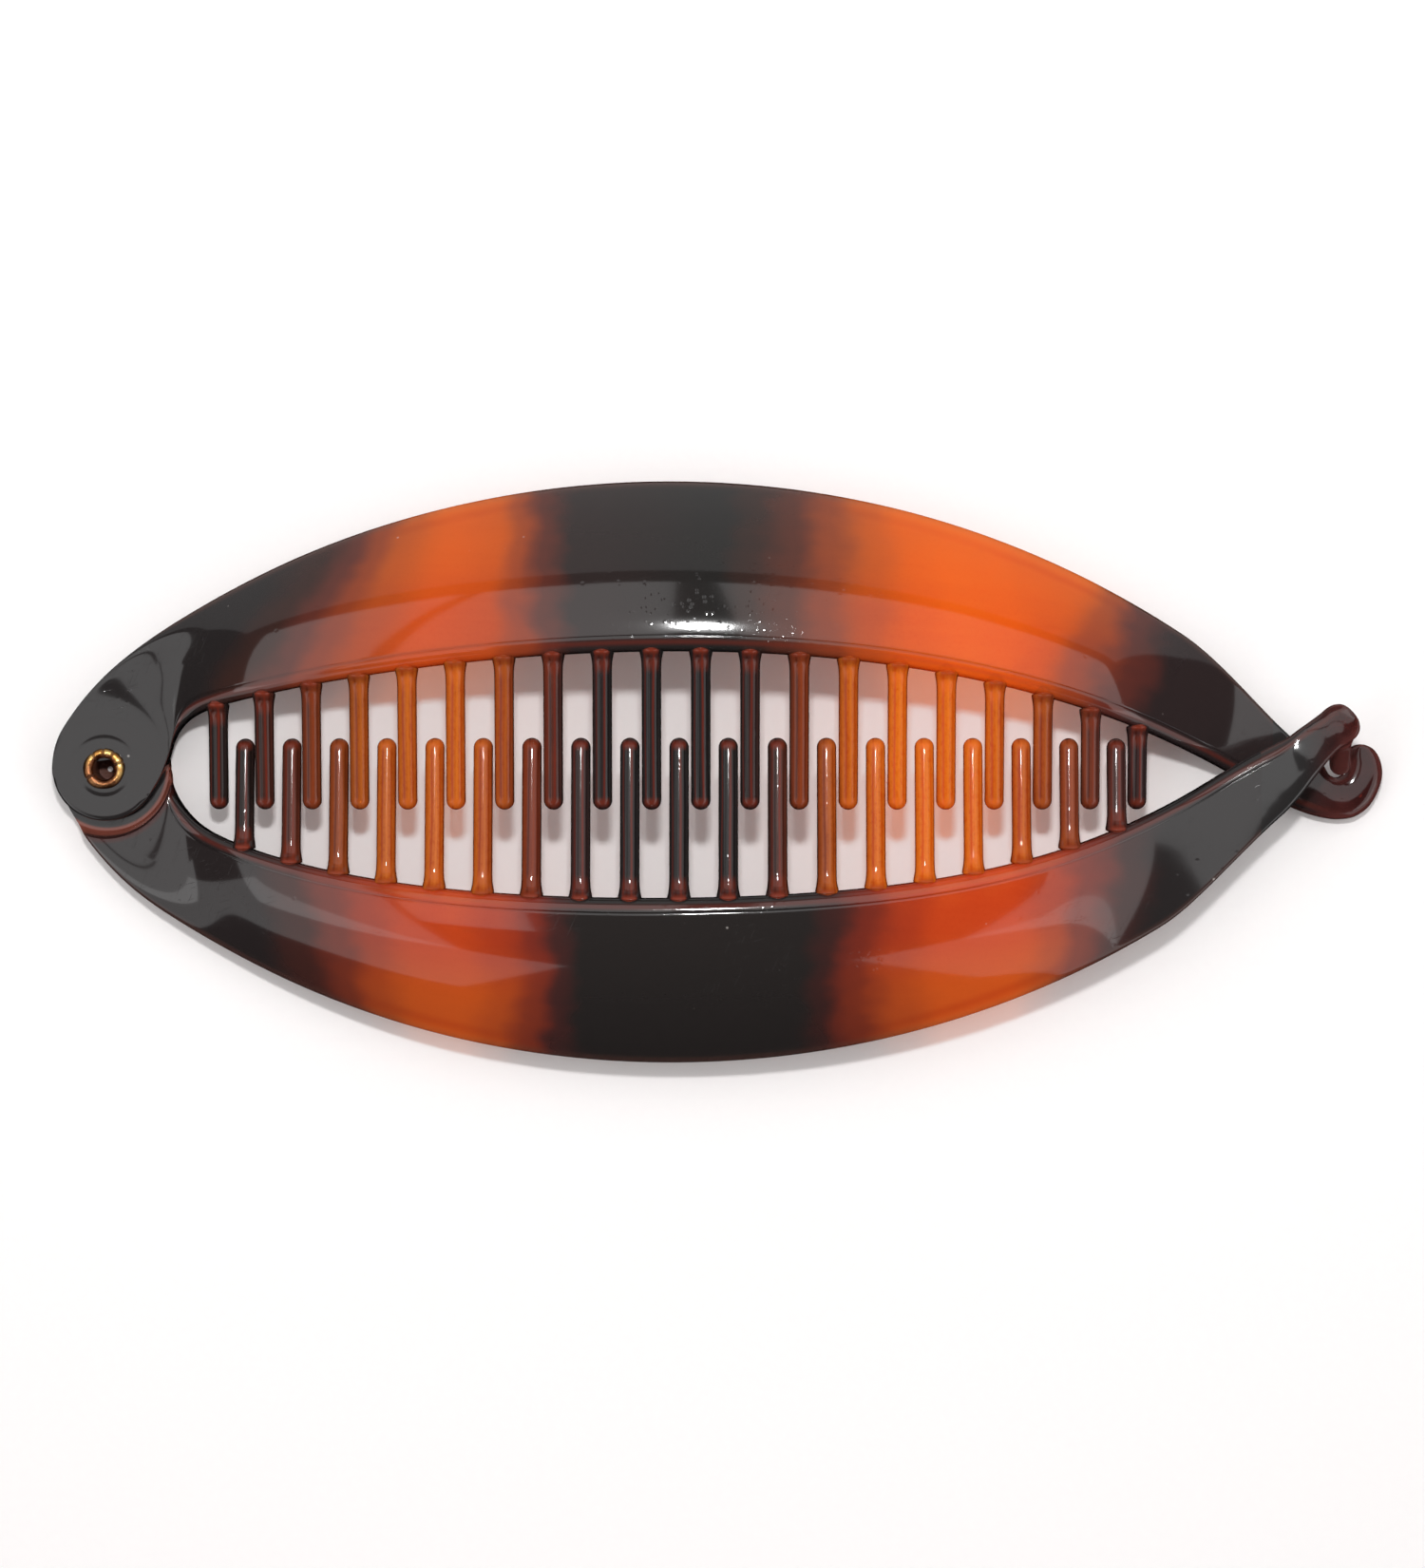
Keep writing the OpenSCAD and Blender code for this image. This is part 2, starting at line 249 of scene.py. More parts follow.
class Field:
    """A value socket that takes part in plain arithmetic."""

    def __init__(self, graph: "Graph", socket: bpy.types.NodeSocket) -> None:
        """Keeps the graph and the socket."""
        self.graph, self.socket = graph, socket

    def _op(self, operation: str, *values: Any) -> "Field":
        """Adds a Math node on these values."""
        return self.graph.node("ShaderNodeMath", {"operation": operation}, dict(enumerate(values)))

    def __add__(self, other: Any) -> "Field":
        """Sum."""
        return self._op("ADD", self, other)

    def __sub__(self, other: Any) -> "Field":
        """Difference."""
        return self._op("SUBTRACT", self, other)

    def __rsub__(self, other: Any) -> "Field":
        """Difference the other way round."""
        return self._op("SUBTRACT", other, self)

    def __mul__(self, other: Any) -> "Field":
        """Product."""
        return self._op("MULTIPLY", self, other)

    def __truediv__(self, other: Any) -> "Field":
        """Quotient."""
        return self._op("DIVIDE", self, other)

    __radd__, __rmul__ = __add__, __mul__

    def distance(self) -> "Field":
        """The size of this value."""
        return self._op("ABSOLUTE", self)

    def ramp(self, low: float, high: float, bottom: float = 0.0, top: float = 1.0) -> "Field":
        """A smooth step from bottom to top as this value goes from low to high."""
        settings = {"interpolation_type": "SMOOTHSTEP"}
        return self.graph.node("ShaderNodeMapRange", settings, {0: self, 1: low, 2: high, 3: bottom, 4: top})

    def bell(self, centre: float, width: float) -> "Field":
        """1 at centre, falling smoothly to 0 at width to either side."""
        return (self - centre).distance().ramp(0, width, 1, 0)


@dataclass
class Graph:
    """The node tree of one material."""

    material: bpy.types.Material

    @classmethod
    def new(cls, name: str) -> "Graph":
        """A graph on a new, empty material."""
        material = bpy.data.materials.new(name)
        material.use_nodes = True
        material.node_tree.nodes.clear()
        return cls(material)

    def node(self, kind: str, settings: dict[str, Any], inputs: dict[Any, Any], output: Any = 0) -> Field:
        """Adds a node.

        Args:
            kind: the node's type.
            settings: its properties, or "stops" for a colour ramp.
            inputs: values or fields by socket name or index.
            output: which output comes back.

        Returns:
            The output as a field.
        """
        made = self.material.node_tree.nodes.new(kind)
        for key, value in settings.items():
            if key == "stops":
                made.color_ramp.interpolation = "EASE"
                elements = made.color_ramp.elements
                elements[0].position, elements[0].color = value[0]
                elements[1].position, elements[1].color = value[-1]
                for place, colour in value[1:-1]:
                    elements.new(place).color = colour
            else:
                setattr(made, key, value)
        for key, value in inputs.items():
            if isinstance(value, Field):
                self.material.node_tree.links.new(value.socket, made.inputs[key])
            else:
                made.inputs[key].default_value = value
        return Field(self, made.outputs[output])

    def place(self) -> Field:
        """The object coordinates."""
        return self.node("ShaderNodeTexCoord", {}, {}, "Object")

    def axis(self, vector: Field, name: str) -> Field:
        """One coordinate of a place in metres, as millimetres."""
        return self.node("ShaderNodeSeparateXYZ", {}, {0: vector}, name) * (1 / MM)

    def stretched(self, vector: Field, scale: Sequence[float], turn: float = 0.0) -> Field:
        """A vector turned about Z by degrees and scaled along each axis."""
        turned = self.node("ShaderNodeMapping", {}, {0: vector, "Rotation": (0, 0, math.radians(turn))})
        return self.node("ShaderNodeMapping", {}, {"Vector": turned, "Scale": tuple(scale)})

    def noise(self, vector: Field, scale: float, detail: float = 2.0, roughness: float = 0.5) -> Field:
        """Noise from 0 to 1."""
        values = {"Vector": vector, "Scale": scale, "Detail": detail, "Roughness": roughness}
        return self.node("ShaderNodeTexNoise", {}, values)

    def dots(self, vector: Field, scale: float, size: float) -> Field:
        """Small round dots: 1 at the middle of a cell, 0 beyond size."""
        cell = self.node("ShaderNodeTexVoronoi", {}, {"Vector": vector, "Scale": scale}, "Distance")
        return cell.ramp(0, size, 1, 0)

    def value(self, name: str) -> Field:
        """A mesh attribute."""
        return self.node("ShaderNodeAttribute", {"attribute_name": name}, {}, "Fac")

    def tint(self, amount: Any, base: Any, other: Any, blend: str = "MIX") -> Field:
        """Mixes two colours by an amount."""
        settings = {"data_type": "RGBA", "blend_type": blend, "clamp_result": True}
        return self.node("ShaderNodeMix", settings, {0: amount, 6: base, 7: other}, 2)

    def two_tone(self, amount: Any, base: Field, amber: Field, dark: Colour, light: Colour) -> Field:
        """Tints a colour towards one that goes from dark to light as the plastic goes amber."""
        return self.tint(amount, base, self.tint(amber, srgb(*dark), srgb(*light)))

    def bump(self, height: Field, strength: float, distance: float) -> Field:
        """A normal from a height, with the distance in metres."""
        values = {"Height": height, "Strength": strength, "Distance": distance}
        return self.node("ShaderNodeBump", {}, values)

    def see_through(self, shine: Field, share: Field, glow: Colour) -> bpy.types.Material:
        """Lets a share of the light straight through a shader, coloured by glow, and finishes."""
        clear = self.node("ShaderNodeBsdfTransparent", {}, {0: srgb(*glow)})
        return self.finish(self.node("ShaderNodeMixShader", {}, {0: share, 1: shine, 2: clear}))

    def finish(self, shader: Field) -> bpy.types.Material:
        """Sends a shader to the surface and gives back the material."""
        end = self.material.node_tree.nodes.new("ShaderNodeOutputMaterial")
        self.material.node_tree.links.new(shader.socket, end.inputs["Surface"])
        return self.material


BLACK = srgb(42, 40, 40)


@dataclass(frozen=True)
class Tortoiseshell:
    """Banded translucent plastic: dark and amber bands across the length, glossy, with fine wear.

    Stops are (place along X in millimetres, red, green, blue), and level darkens them all. See_through and
    shadow_clear are the shares of light let through where the plastic is amber, to the eye and to the
    table, and glow is their colour. Wander is how far the bands' edges stray in millimetres, lean how far
    they slant near the two ends, and shoulder how much of the hinge's shoulder shows.
    """

    name: str
    stops: tuple[tuple[float, int, int, int], ...]
    start: float = -8.0
    end: float = 146.0
    see_through: float = 0.42
    shadow_clear: float = 0.84
    glow: Colour = (255, 186, 116)
    level: float = 0.84
    wander: float = 4.0
    shoulder: float = 0.0
    lean: tuple[float, float] = (0.0, 0.0)

    def leaned(self, graph: Graph, place: Field, from_lip: Field) -> Field:
        """How far the bands move along X across an arm: by the leans, near its two ends."""
        x = graph.axis(place, "X")
        return from_lip * (x.ramp(48, 26) * -self.lean[0] + x.ramp(96, 112) * -self.lean[1])

    def bands(self, graph: Graph, place: Field, sway: Field) -> Field:
        """The band colour at a place, moved along X by sway in millimetres."""
        span = self.end - self.start
        x = graph.axis(place, "X") + sway
        deepen = np.array([self.level] * 3 + [1.0])
        stops = [((at - self.start) / span, tuple(deepen * srgb(*rgb))) for at, *rgb in self.stops]
        return graph.node("ShaderNodeValToRGB", {"stops": stops}, {0: (x - self.start) / span})

    def clear_share(self, graph: Graph, amber: Field) -> Field:
        """How much light passes straight through: more for the light that reaches the table below."""
        shadow = graph.node("ShaderNodeLightPath", {}, {}, "Is Shadow Ray")
        return amber * (shadow * (self.shadow_clear - self.see_through) + self.see_through)

    def amber(self, graph: Graph, colour: Field) -> Field:
        """How light the plastic is, from 0 in a dark band to 1 in an amber one."""
        red = graph.node("ShaderNodeSeparateColor", {}, {0: colour})
        return red.ramp(0.05, 0.8)

    def wear(self, graph: Graph, place: Field) -> tuple[Field, Field]:
        """Fine scratches and pits.

        Args:
            graph: the material's graph.
            place: object coordinates.

        Returns:
            A height for the bump, and how scuffed the surface is.
        """
        lines = graph.noise(graph.stretched(place, (9000, 260, 260), 24), 1.0, 1.0)
        cross = graph.noise(graph.stretched(place, (420, 7600, 420), -17), 1.0, 1.0)
        patch = graph.noise(place, 90.0, 2.0).ramp(0.5, 0.7)
        scratch = (lines.ramp(0.69, 0.73) + cross.ramp(0.7, 0.74)) * patch
        pits = graph.dots(place, 420.0, 0.13)
        swell = graph.noise(graph.stretched(place, (60, 110, 60)), 1.0, 1.0)
        middle = graph.axis(place, "X").bell(72, 26) * graph.noise(place, 260.0, 2.0).ramp(0.42, 0.6)
        glints = graph.dots(place, 1300.0, 0.34) * middle
        return swell * 6.0 - scratch * 0.5 - pits * 0.8 + glints * 1.6, scratch + pits

    def hinge_shoulder(self, graph: Graph, place: Field, colour: Field) -> Field:
        """The light brown shoulder round the hinge's recess, with a dark red line outside it."""
        flat = graph.stretched(place, (1, 1, 0))
        r = graph.node("ShaderNodeVectorMath", {"operation": "LENGTH"}, {0: flat}, "Value") * (1 / MM)
        below = graph.axis(place, "Y").ramp(1.2, -0.4) * self.shoulder
        colour = graph.tint(r.bell(7.95, 0.55) * below * 0.8, colour, srgb(62, 22, 18))
        return graph.tint(r.bell(7.05, 0.7).ramp(0, 0.6) * below, colour, srgb(128, 70, 58))

    def material(self) -> bpy.types.Material:
        """The finish for an arm, whose mesh says how far a point is from its lip and outer edge."""
        graph = Graph.new(self.name)
        place = graph.place()
        from_lip, from_edge = graph.value("from_lip"), graph.value("from_edge")
        cloud = graph.noise(graph.stretched(place, (70, 110, 70)), 1.0, 3.0, 0.6)
        sway = (cloud - 0.5) * self.wander * 2 + self.leaned(graph, place, from_lip)
        colour = self.bands(graph, place, sway)
        amber = self.amber(graph, colour)
        streak = graph.noise(graph.stretched(place, (55, 900, 300), 4), 1.0, 3.0, 0.65)
        grain = graph.noise(place, 2400.0, 3.0, 0.7)
        deep = graph.tint(0.5, colour, colour, "MULTIPLY")
        colour = graph.tint((streak - 0.42) * 1.6 * amber * 0.4, colour, deep)
        colour = graph.tint(grain.ramp(0.45, 0.75) * amber * 0.24, colour, deep)
        # Painted glow: amber parts of the face are brighter orange away from the lip, standing in for light
        # shining through the plastic.
        colour = graph.tint(from_lip.ramp(5, 13) * amber * 0.35, colour, srgb(252, 138, 48))
        # Painted shade in a band just inside the outer edge, and a painted glow on the edge itself.
        colour = graph.tint(from_edge.bell(1.5, 0.9) * amber * 0.45, colour, deep)
        lit_edge = from_edge.ramp(0.1, 1.0, 1, 0)
        colour = graph.two_tone(lit_edge * 0.6, colour, amber, (84, 58, 52), (224, 120, 58))
        # Painted shade on the lip's front and in the groove behind its rounding.
        painted_lip_shade = from_lip.bell(1.6, 0.3) * 0.45 + from_lip.ramp(0.0, 0.45, 1, 0) * 0.55
        colour = graph.tint(painted_lip_shade, colour, graph.tint(0.62, colour, srgb(70, 28, 18), "MULTIPLY"))
        rim_glow = from_lip.bell(0.95, 0.5) * (0.42 + amber * 0.4)
        colour = graph.two_tone(rim_glow, colour, amber, (112, 42, 30), (206, 92, 42))
        colour = self.hinge_shoulder(graph, place, colour)
        height, scuff = self.wear(graph, place)
        speck = graph.dots(place, 230.0, 0.05) * graph.noise(place, 160.0, 1.0).ramp(0.5, 0.6)
        colour = graph.tint(speck * 0.8, colour, srgb(214, 206, 200))
        shine = graph.node(
            "ShaderNodeBsdfPrincipled", {},
            {"Base Color": colour, "Roughness": scuff * 0.12 + 0.07 + cloud * 0.03, "IOR": 1.5,
             "Normal": graph.bump(height, 0.35, 0.00004), "Coat Weight": 0.25, "Coat Roughness": 0.04},
        )
        return graph.see_through(shine, self.clear_share(graph, amber), self.glow)


@dataclass(frozen=True)
class CombTortoiseshell(Tortoiseshell):
    """The same plastic on the thin round teeth, with painted light and shade: light and dark lengthwise
    streaks, and dark outlines of painted shade along its sides and tip.
    """

    def material(self) -> bpy.types.Material:
        """The finish for a tooth, whose mesh says how far across and along it a point is."""
        graph = Graph.new(self.name)
        place = graph.place()
        across, tip, root = graph.value("across"), graph.value("from_tip"), graph.value("from_root")
        cloud = graph.noise(place, 160.0, 2.0)
        colour = self.bands(graph, place, (cloud - 0.5) * self.wander)
        amber = self.amber(graph, colour)
        deep = graph.tint(0.85, colour, colour, "MULTIPLY")
        grain = graph.noise(graph.stretched(place, (2600, 1500, 2600)), 1.0, 3.0, 0.7)
        colour = graph.tint(grain.ramp(0.42, 0.7) * 0.45 * (0.2 + amber), colour, deep)
        sway = (graph.noise(graph.stretched(place, (260, 60, 60)), 1.0, 1.0) - 0.5) * 0.5
        lane = across + sway
        # Painted light and shade along the round tooth: dark lanes of painted shade, and light lanes of
        # painted light on all but the tip.
        colour = graph.tint(lane.bell(-0.28, 0.2) * 0.8 + lane.bell(0.62, 0.16) * 0.6, colour, deep)
        light = lane.bell(0.2, 0.2) * 0.9 + lane.bell(-0.62, 0.13) * 0.6
        painted_streak_glow = light * tip.ramp(0.5, 1.6)
        colour = graph.two_tone(painted_streak_glow * 0.6, colour, amber, (126, 42, 28), (242, 146, 56))
        end_glow = tip.bell(0.75, 0.8) + root.bell(1.6, 1.3) * 0.7
        inside = across.distance().ramp(0.95, 0.5)
        colour = graph.two_tone(end_glow * inside * 0.7, colour, amber, (120, 46, 30), (238, 128, 48))
        dome = root.bell(0.2, 0.75) * across.distance().ramp(0.75, 0.45)
        colour = graph.two_tone(dome, colour, amber, (128, 52, 36), (196, 92, 40))
        # Painted shade: dark outlines along the sides of the round tooth and round its tip.
        outline = across.distance().ramp(0.8, 0.99) + tip.ramp(0.24, 0.03) * 0.8
        colour = graph.two_tone(outline * 0.85, colour, amber * 0.45, (34, 26, 26), (110, 52, 26))
        height, scuff = self.wear(graph, place)
        shine = graph.node(
            "ShaderNodeBsdfPrincipled", {},
            {"Base Color": colour, "Roughness": scuff * 0.1 + 0.06, "IOR": 1.4,
             "Normal": graph.bump(height, 0.25, 0.00003)},
        )
        return graph.see_through(shine, self.clear_share(graph, 0.08 + amber * 0.92), self.glow)


@dataclass(frozen=True)
class Oxblood:
    """Dark red-brown translucent plastic of the tail pieces, with a painted glow that makes it lighter along
    its thin edges and its lip.
    """

    name: str

    def material(self) -> bpy.types.Material:
        """The finish for a tail piece."""
        graph = Graph.new(self.name)
        place = graph.place()
        from_lip, from_edge = graph.value("from_lip"), graph.value("from_edge")
        x = graph.axis(place, "X")
        cloud = graph.noise(place, 240.0, 3.0, 0.6)
        colour = graph.tint(cloud.ramp(0.35, 0.7), srgb(56, 27, 26), srgb(76, 38, 36))
        colour = graph.tint(x.ramp(138.5, 132.5), colour, BLACK)
        # Painted glow on the rounded lip, where the piece is black.
        lip = from_lip.bell(0.95, 0.6) * 0.6 + from_lip.ramp(0.0, 0.5, 1, 0) * 0.4
        colour = graph.tint(lip * x.ramp(139, 134), colour, srgb(96, 46, 38))
        # Painted glow: lighter and pinkish along the thin outer edge and the lip towards the tip, standing
        # in for light through the plastic.
        thin = (from_edge.ramp(0.0, 1.3, 1, 0) + from_lip.ramp(0.0, 1.3, 1, 0)) * x.ramp(134, 138.5)
        colour = graph.tint(thin * 0.6, colour, srgb(112, 62, 58))
        height = graph.noise(place, 180.0, 2.0) * 4.0 - graph.dots(place, 520.0, 0.1)
        shine = graph.node(
            "ShaderNodeBsdfPrincipled", {},
            {"Base Color": colour, "Roughness": cloud * 0.06 + 0.06, "IOR": 1.5,
             "Normal": graph.bump(height, 0.3, 0.00004), "Coat Weight": 0.3, "Coat Roughness": 0.03},
        )
        return graph.see_through(shine, x.ramp(131, 138) * 0.16, (214, 128, 112))


@dataclass(frozen=True)
class AgedBrass:
    """Gilt brass, bright on the rolled rim and copper brown in the low places; the gilt is partly a painted
    highlight, strongest on the side towards the light, and the bore is painted dark as shade.
    """

    name: str

    def material(self) -> bpy.types.Material:
        """The finish for the eyelet, whose mesh marks its cracks."""
        graph = Graph.new(self.name)
        place = graph.place()
        crack, bore, crest = (graph.value(name) for name in ("crack", "bore", "crest"))
        spots = graph.noise(place, 2600.0, 4.0, 0.65)
        wide = graph.noise(place, 620.0, 2.0)
        # Painted highlight: the gilt on the rim's crest is strongest on the side towards the light.
        upper = (graph.axis(place, "Y") + graph.axis(place, "X") * 0.5).ramp(-1.0, 0.8, 0.08, 1.0)
        colour = graph.tint(spots.ramp(0.4, 0.7), srgb(150, 98, 66), srgb(104, 60, 44))
        gilt = graph.tint(wide.ramp(0.4, 0.65), srgb(255, 226, 150), srgb(222, 160, 84))
        colour = graph.tint(crest * upper * spots.ramp(0.75, 0.4, 0.4, 1.0), colour, gilt)
        colour = graph.tint(crack * 0.6, colour, srgb(40, 24, 18))
        # Painted shade: the bore's walls are painted dark and dull inside the eyelet.
        colour = graph.tint(bore, colour, srgb(92, 50, 36))
        shine = graph.node(
            "ShaderNodeBsdfPrincipled", {},
            {"Base Color": colour, "Metallic": 1.0 - crack * 0.8 - bore * 0.9,
             "Roughness": spots * 0.35 + 0.14 + crack * 0.3 + bore * 0.3,
             "Normal": graph.bump(spots * 2.0 + wide * 3.0, 0.5, 0.00006)},
        )
        return graph.finish(shine)


@dataclass(frozen=True)
class Paper:
    """The plain pale surface under the clip."""

    name: str

    def material(self) -> bpy.types.Material:
        """A matt off-white with a faint tooth."""
        graph = Graph.new(self.name)
        place = graph.place()
        fibre = graph.noise(place, 900.0, 3.0)
        colour = graph.tint(fibre, srgb(250, 247, 246), srgb(246, 243, 243))
        return graph.finish(graph.node(
            "ShaderNodeBsdfPrincipled", {},
            {"Base Color": colour, "Roughness": 0.9, "Specular IOR Level": 0.1,
             "Emission Color": srgb(255, 244, 242), "Emission Strength": 0.06,
             "Normal": graph.bump(fibre, 0.1, 0.00005)},
        ))


# ------------------------------------------------------------------ the clip's shape


@dataclass
class Outline:
    """Sizes that both arms share, in millimetres. Ends come from the CAD frame.

    Sink and end_r shape the outer edge, skew leans the opening towards the tail, and crossing is how far
    before the tail's end the two inner edges cross.
    """

    boss_r: float = 5.8
    boss_t: float = 2.35
    boss_gap: float = 0.1
    wall: float = 2.0
    lip_width: float = 1.5
    lip_depth: float = 3.4
    open_x: float = 11.8
    arch_height: float = 19.0
    edge_height: float = 6.8
    tail_height: float = 10.4
    paddle_t: float = 3.2
    tail_x: float = 143.0
    ridge_share: float = 0.465
    peak_share: float = 0.441
    end_r: float = 32.3
    sink: float = 4.7
    skew: float = 2.1
    crossing: float = 18.2

    @property
    def hinge_top(self) -> float:
        """Height of the upper boss's face."""
        return 2 * self.boss_t + self.boss_gap

    def arch(self, x: Any) -> Any:
        """Height of the arch's circle, through the hinge's face and the ridge's top."""
        ridge_x, sag = self.tail_x * self.ridge_share, self.arch_height - self.hinge_top
        r = (ridge_x**2 + sag**2) / (2 * sag)
        return self.arch_height - r + np.sqrt(r**2 - (x - ridge_x) ** 2)

    def nearing(self, x: Any, before: float, over: float) -> Any:
        """A smooth step that starts so far before the tail's end, over a length."""
        return ease((x - self.tail_x + before) / over)

    def outer(self, x: Any, edge: tuple[float, float, float, float]) -> Any:
        """Outer edge's distance from the hinge line: the boss's circle, a tangent arc, then the main arc.

        Args:
            x: places along the clip.
            edge: the arc's rise, how far it turns in, how far before the tail's end, and over what length.
        """
        rise, tuck, *run_in = edge
        x = np.asarray(x, float)
        peak = self.tail_x * self.peak_share
        run, drop = self.tail_x - peak, rise + self.sink
        r = (run**2 + drop**2) / (2 * drop)
        c = np.array([peak, rise - r])
        far = np.linalg.norm(c)
        r0, r1 = self.end_r - self.boss_r, r - self.end_r
        along = (r0**2 - r1**2 + far**2) / (2 * far)
        side = math.sqrt(max(0.0, r0**2 - along**2))
        d = c / far
        e = along * d + side * np.array([-d[1], d[0]])
        main_from = e[0] + (e[0] - c[0]) * self.end_r / (r - self.end_r)
        boss_to = -e[0] * self.boss_r / np.linalg.norm(e)
        near = np.sqrt(np.maximum(self.boss_r**2 - x**2, 0))
        end = e[1] + np.sqrt(np.maximum(self.end_r**2 - (x - e[0]) ** 2, 0))
        main = c[1] + np.sqrt(r**2 - (x - c[0]) ** 2) - tuck * self.nearing(x, *run_in)
        return np.where(x < boss_to, near, np.where(x < main_from, end, main))


# Points in each stretch of a section: the lip's foot, front and rounding, the groove, the face, the outer
# edge's rounding, the side, the underside and the lip's back.
SECTION_PARTS = (5, 4, 12, 6, 46, 9, 4, 26, 5)
# Sections in each part of an arm, and how many rows and how many times a join is softened.
HINGE_ROWS, ARM_ROWS, TAIL_ROWS = 70, 300, 170
HINGE_JOIN, TAIL_JOIN = (30, 90), (26, 120)
# The face's fall, the radii of a section's rounded corners, where its underside ends, and the fine groove.
FALL_EVEN, FALL_POWER = 0.05, 2.2
LIP_FOOT, EDGE_ROUND, FOOT_ROUND, FLOOR_START = 0.4, 0.5, 0.3, 0.55
GROOVE_AT, GROOVE_WIDE, GROOVE_DEEP = 0.14, 0.07, 0.035


def section(w: Array, ridge: Array, rim: Array, lip: Array, t: Array, lip_w: Array,
            round_h: Any = 1.2) -> tuple[Array, Array, Array]:
    """An arm's cross-sections: a rounded lip, a crowned face, a rounded outer edge and a hollow underside.

    The face falls by 0.05 v + 0.95 v^2.2 of the way from ridge to rim, v being the share of the way across.
    The lip's front is a quarter ellipse. The underside is the face let down by t times the square root of
    1 plus its slope squared, so that the wall keeps its thickness.

    Args:
        w: width of each section.
        ridge: height of the face at the lip.
        rim: height of the face at the outer edge.
        lip: depth of the lip.
        t: wall thickness.
        lip_w: width of the rounded lip.
        round_h: height of the lip's rounding.

    Returns:
        Distance from the lip, height, and whether a point is on top (1) or below (0), sections by points.
    """
    w, ridge, rim, lip, t, lip_w, round_h = (
        np.broadcast_to(np.asarray(a, float), np.shape(w))[:, None]
        for a in (w, ridge, rim, lip, t, lip_w, round_h))
    span, fall_by = w - lip_w, ridge - rim
    round_h = np.minimum(round_h, lip - 0.42)

    def line(a: Any, b: Any, n: int) -> Array:
        """Points an even way from a to b."""
        return mix(a, b, np.linspace(0, 1, n)[None])

    def turns(n: int) -> tuple[Array, Array]:
        """A quarter turn's sines, and 1 less its cosines."""
        a = quarter(n)[None]
        return np.sin(a), 1 - np.cos(a)

    def fall(v: Array) -> Array:
        """How far the face has fallen."""
        return (FALL_EVEN * v + (1 - FALL_EVEN) * v**FALL_POWER) * fall_by

    def slope(v: Array) -> Array:
        """How steeply it falls."""
        return fall_by * (FALL_EVEN + (1 - FALL_EVEN) * FALL_POWER * v ** (FALL_POWER - 1)) / span

    foot_n, front_n, lip_n, _, face_n, edge_n, side_n, under_n, back_n = SECTION_PARTS
    rise, out = turns(foot_n)
    parts = [(LIP_FOOT * (1 - rise), ridge - lip + LIP_FOOT * out, 0.0)]
    front = line(ridge - lip + LIP_FOOT, ridge - round_h, front_n + 2)[:, 1:-1]
    parts.append((np.zeros(front.shape), front, 0.5))
    rise, out = turns(lip_n)
    parts.append((lip_w * out, ridge - round_h * (1 - rise), 1.0))
    p = np.array([[0.04, 0.09, GROOVE_AT, 0.2, 0.28, 0.4]])
    groove = GROOVE_DEEP * np.exp(-(((p - GROOVE_AT) / GROOVE_WIDE) ** 2)) * (lip_w > 1.2)
    parts.append((lip_w + p, ridge - fall(p / span) - groove, 1.0))
    v_end = (span - EDGE_ROUND) / span
    v = line(0.6 / span, v_end, face_n)
    parts.append((lip_w + v * span, ridge - fall(v), 1.0))
    rise, out = (a[:, 1:] for a in turns(edge_n + 1))
    end_z = parts[-1][1][:, -1:] - EDGE_ROUND * (slope(v_end) * rise + 0.75 * out)
    parts.append((w - EDGE_ROUND * (1 - rise), end_z, 1.0))
    side_z = end_z[:, -1:]
    foot = np.maximum(np.minimum(rim - t * 0.9, side_z - 0.35), 0.0)
    rise, out = turns(side_n)
    parts.append((w - FOOT_ROUND * out, mix(side_z, foot, rise), 0.5))
    v = line(v_end * 0.985, np.maximum(FLOOR_START / span, 0.02), under_n)
    below = ridge - np.minimum(fall(v) + t * np.sqrt(1 + slope(v) ** 2), np.maximum(ridge, 0.01))
    parts.append((lip_w + v * span, np.maximum(below, 0.0), 0.0))
    p, z = (a[:, -1:] for a in parts[-1][:2])
    back = np.minimum(1.7, lip_w + 0.2)
    parts.append((line(p, back, back_n), line(z, ridge - lip, back_n), 0.0))
    ps, zs, tops = (
        np.concatenate([np.broadcast_to(part[k], (len(w), part[1].shape[1])) for part in parts], 1)
        for k in range(3))
    return ps, zs, tops


def packed(xy: Array, z: Array, p: Array, w: Array) -> Array:
    """One grid of x, y, z, distance from the lip and width, from its points and the rows' widths."""
    wide = np.broadcast_to(w[:, None], p.shape)
    return np.concatenate([xy, z[..., None], p[..., None], wide[..., None]], -1)


def pillow_angles() -> Array:
    """The angle of each section point when the section rounds off into a pillow, in radians."""
    ends = (205, 190, 172, 150, 140, 38, 8, -16, -140, -152)
    return np.radians(np.concatenate([
        np.linspace(ends[k], ends[k + 1], n, endpoint=False) for k, n in enumerate(SECTION_PARTS)]))


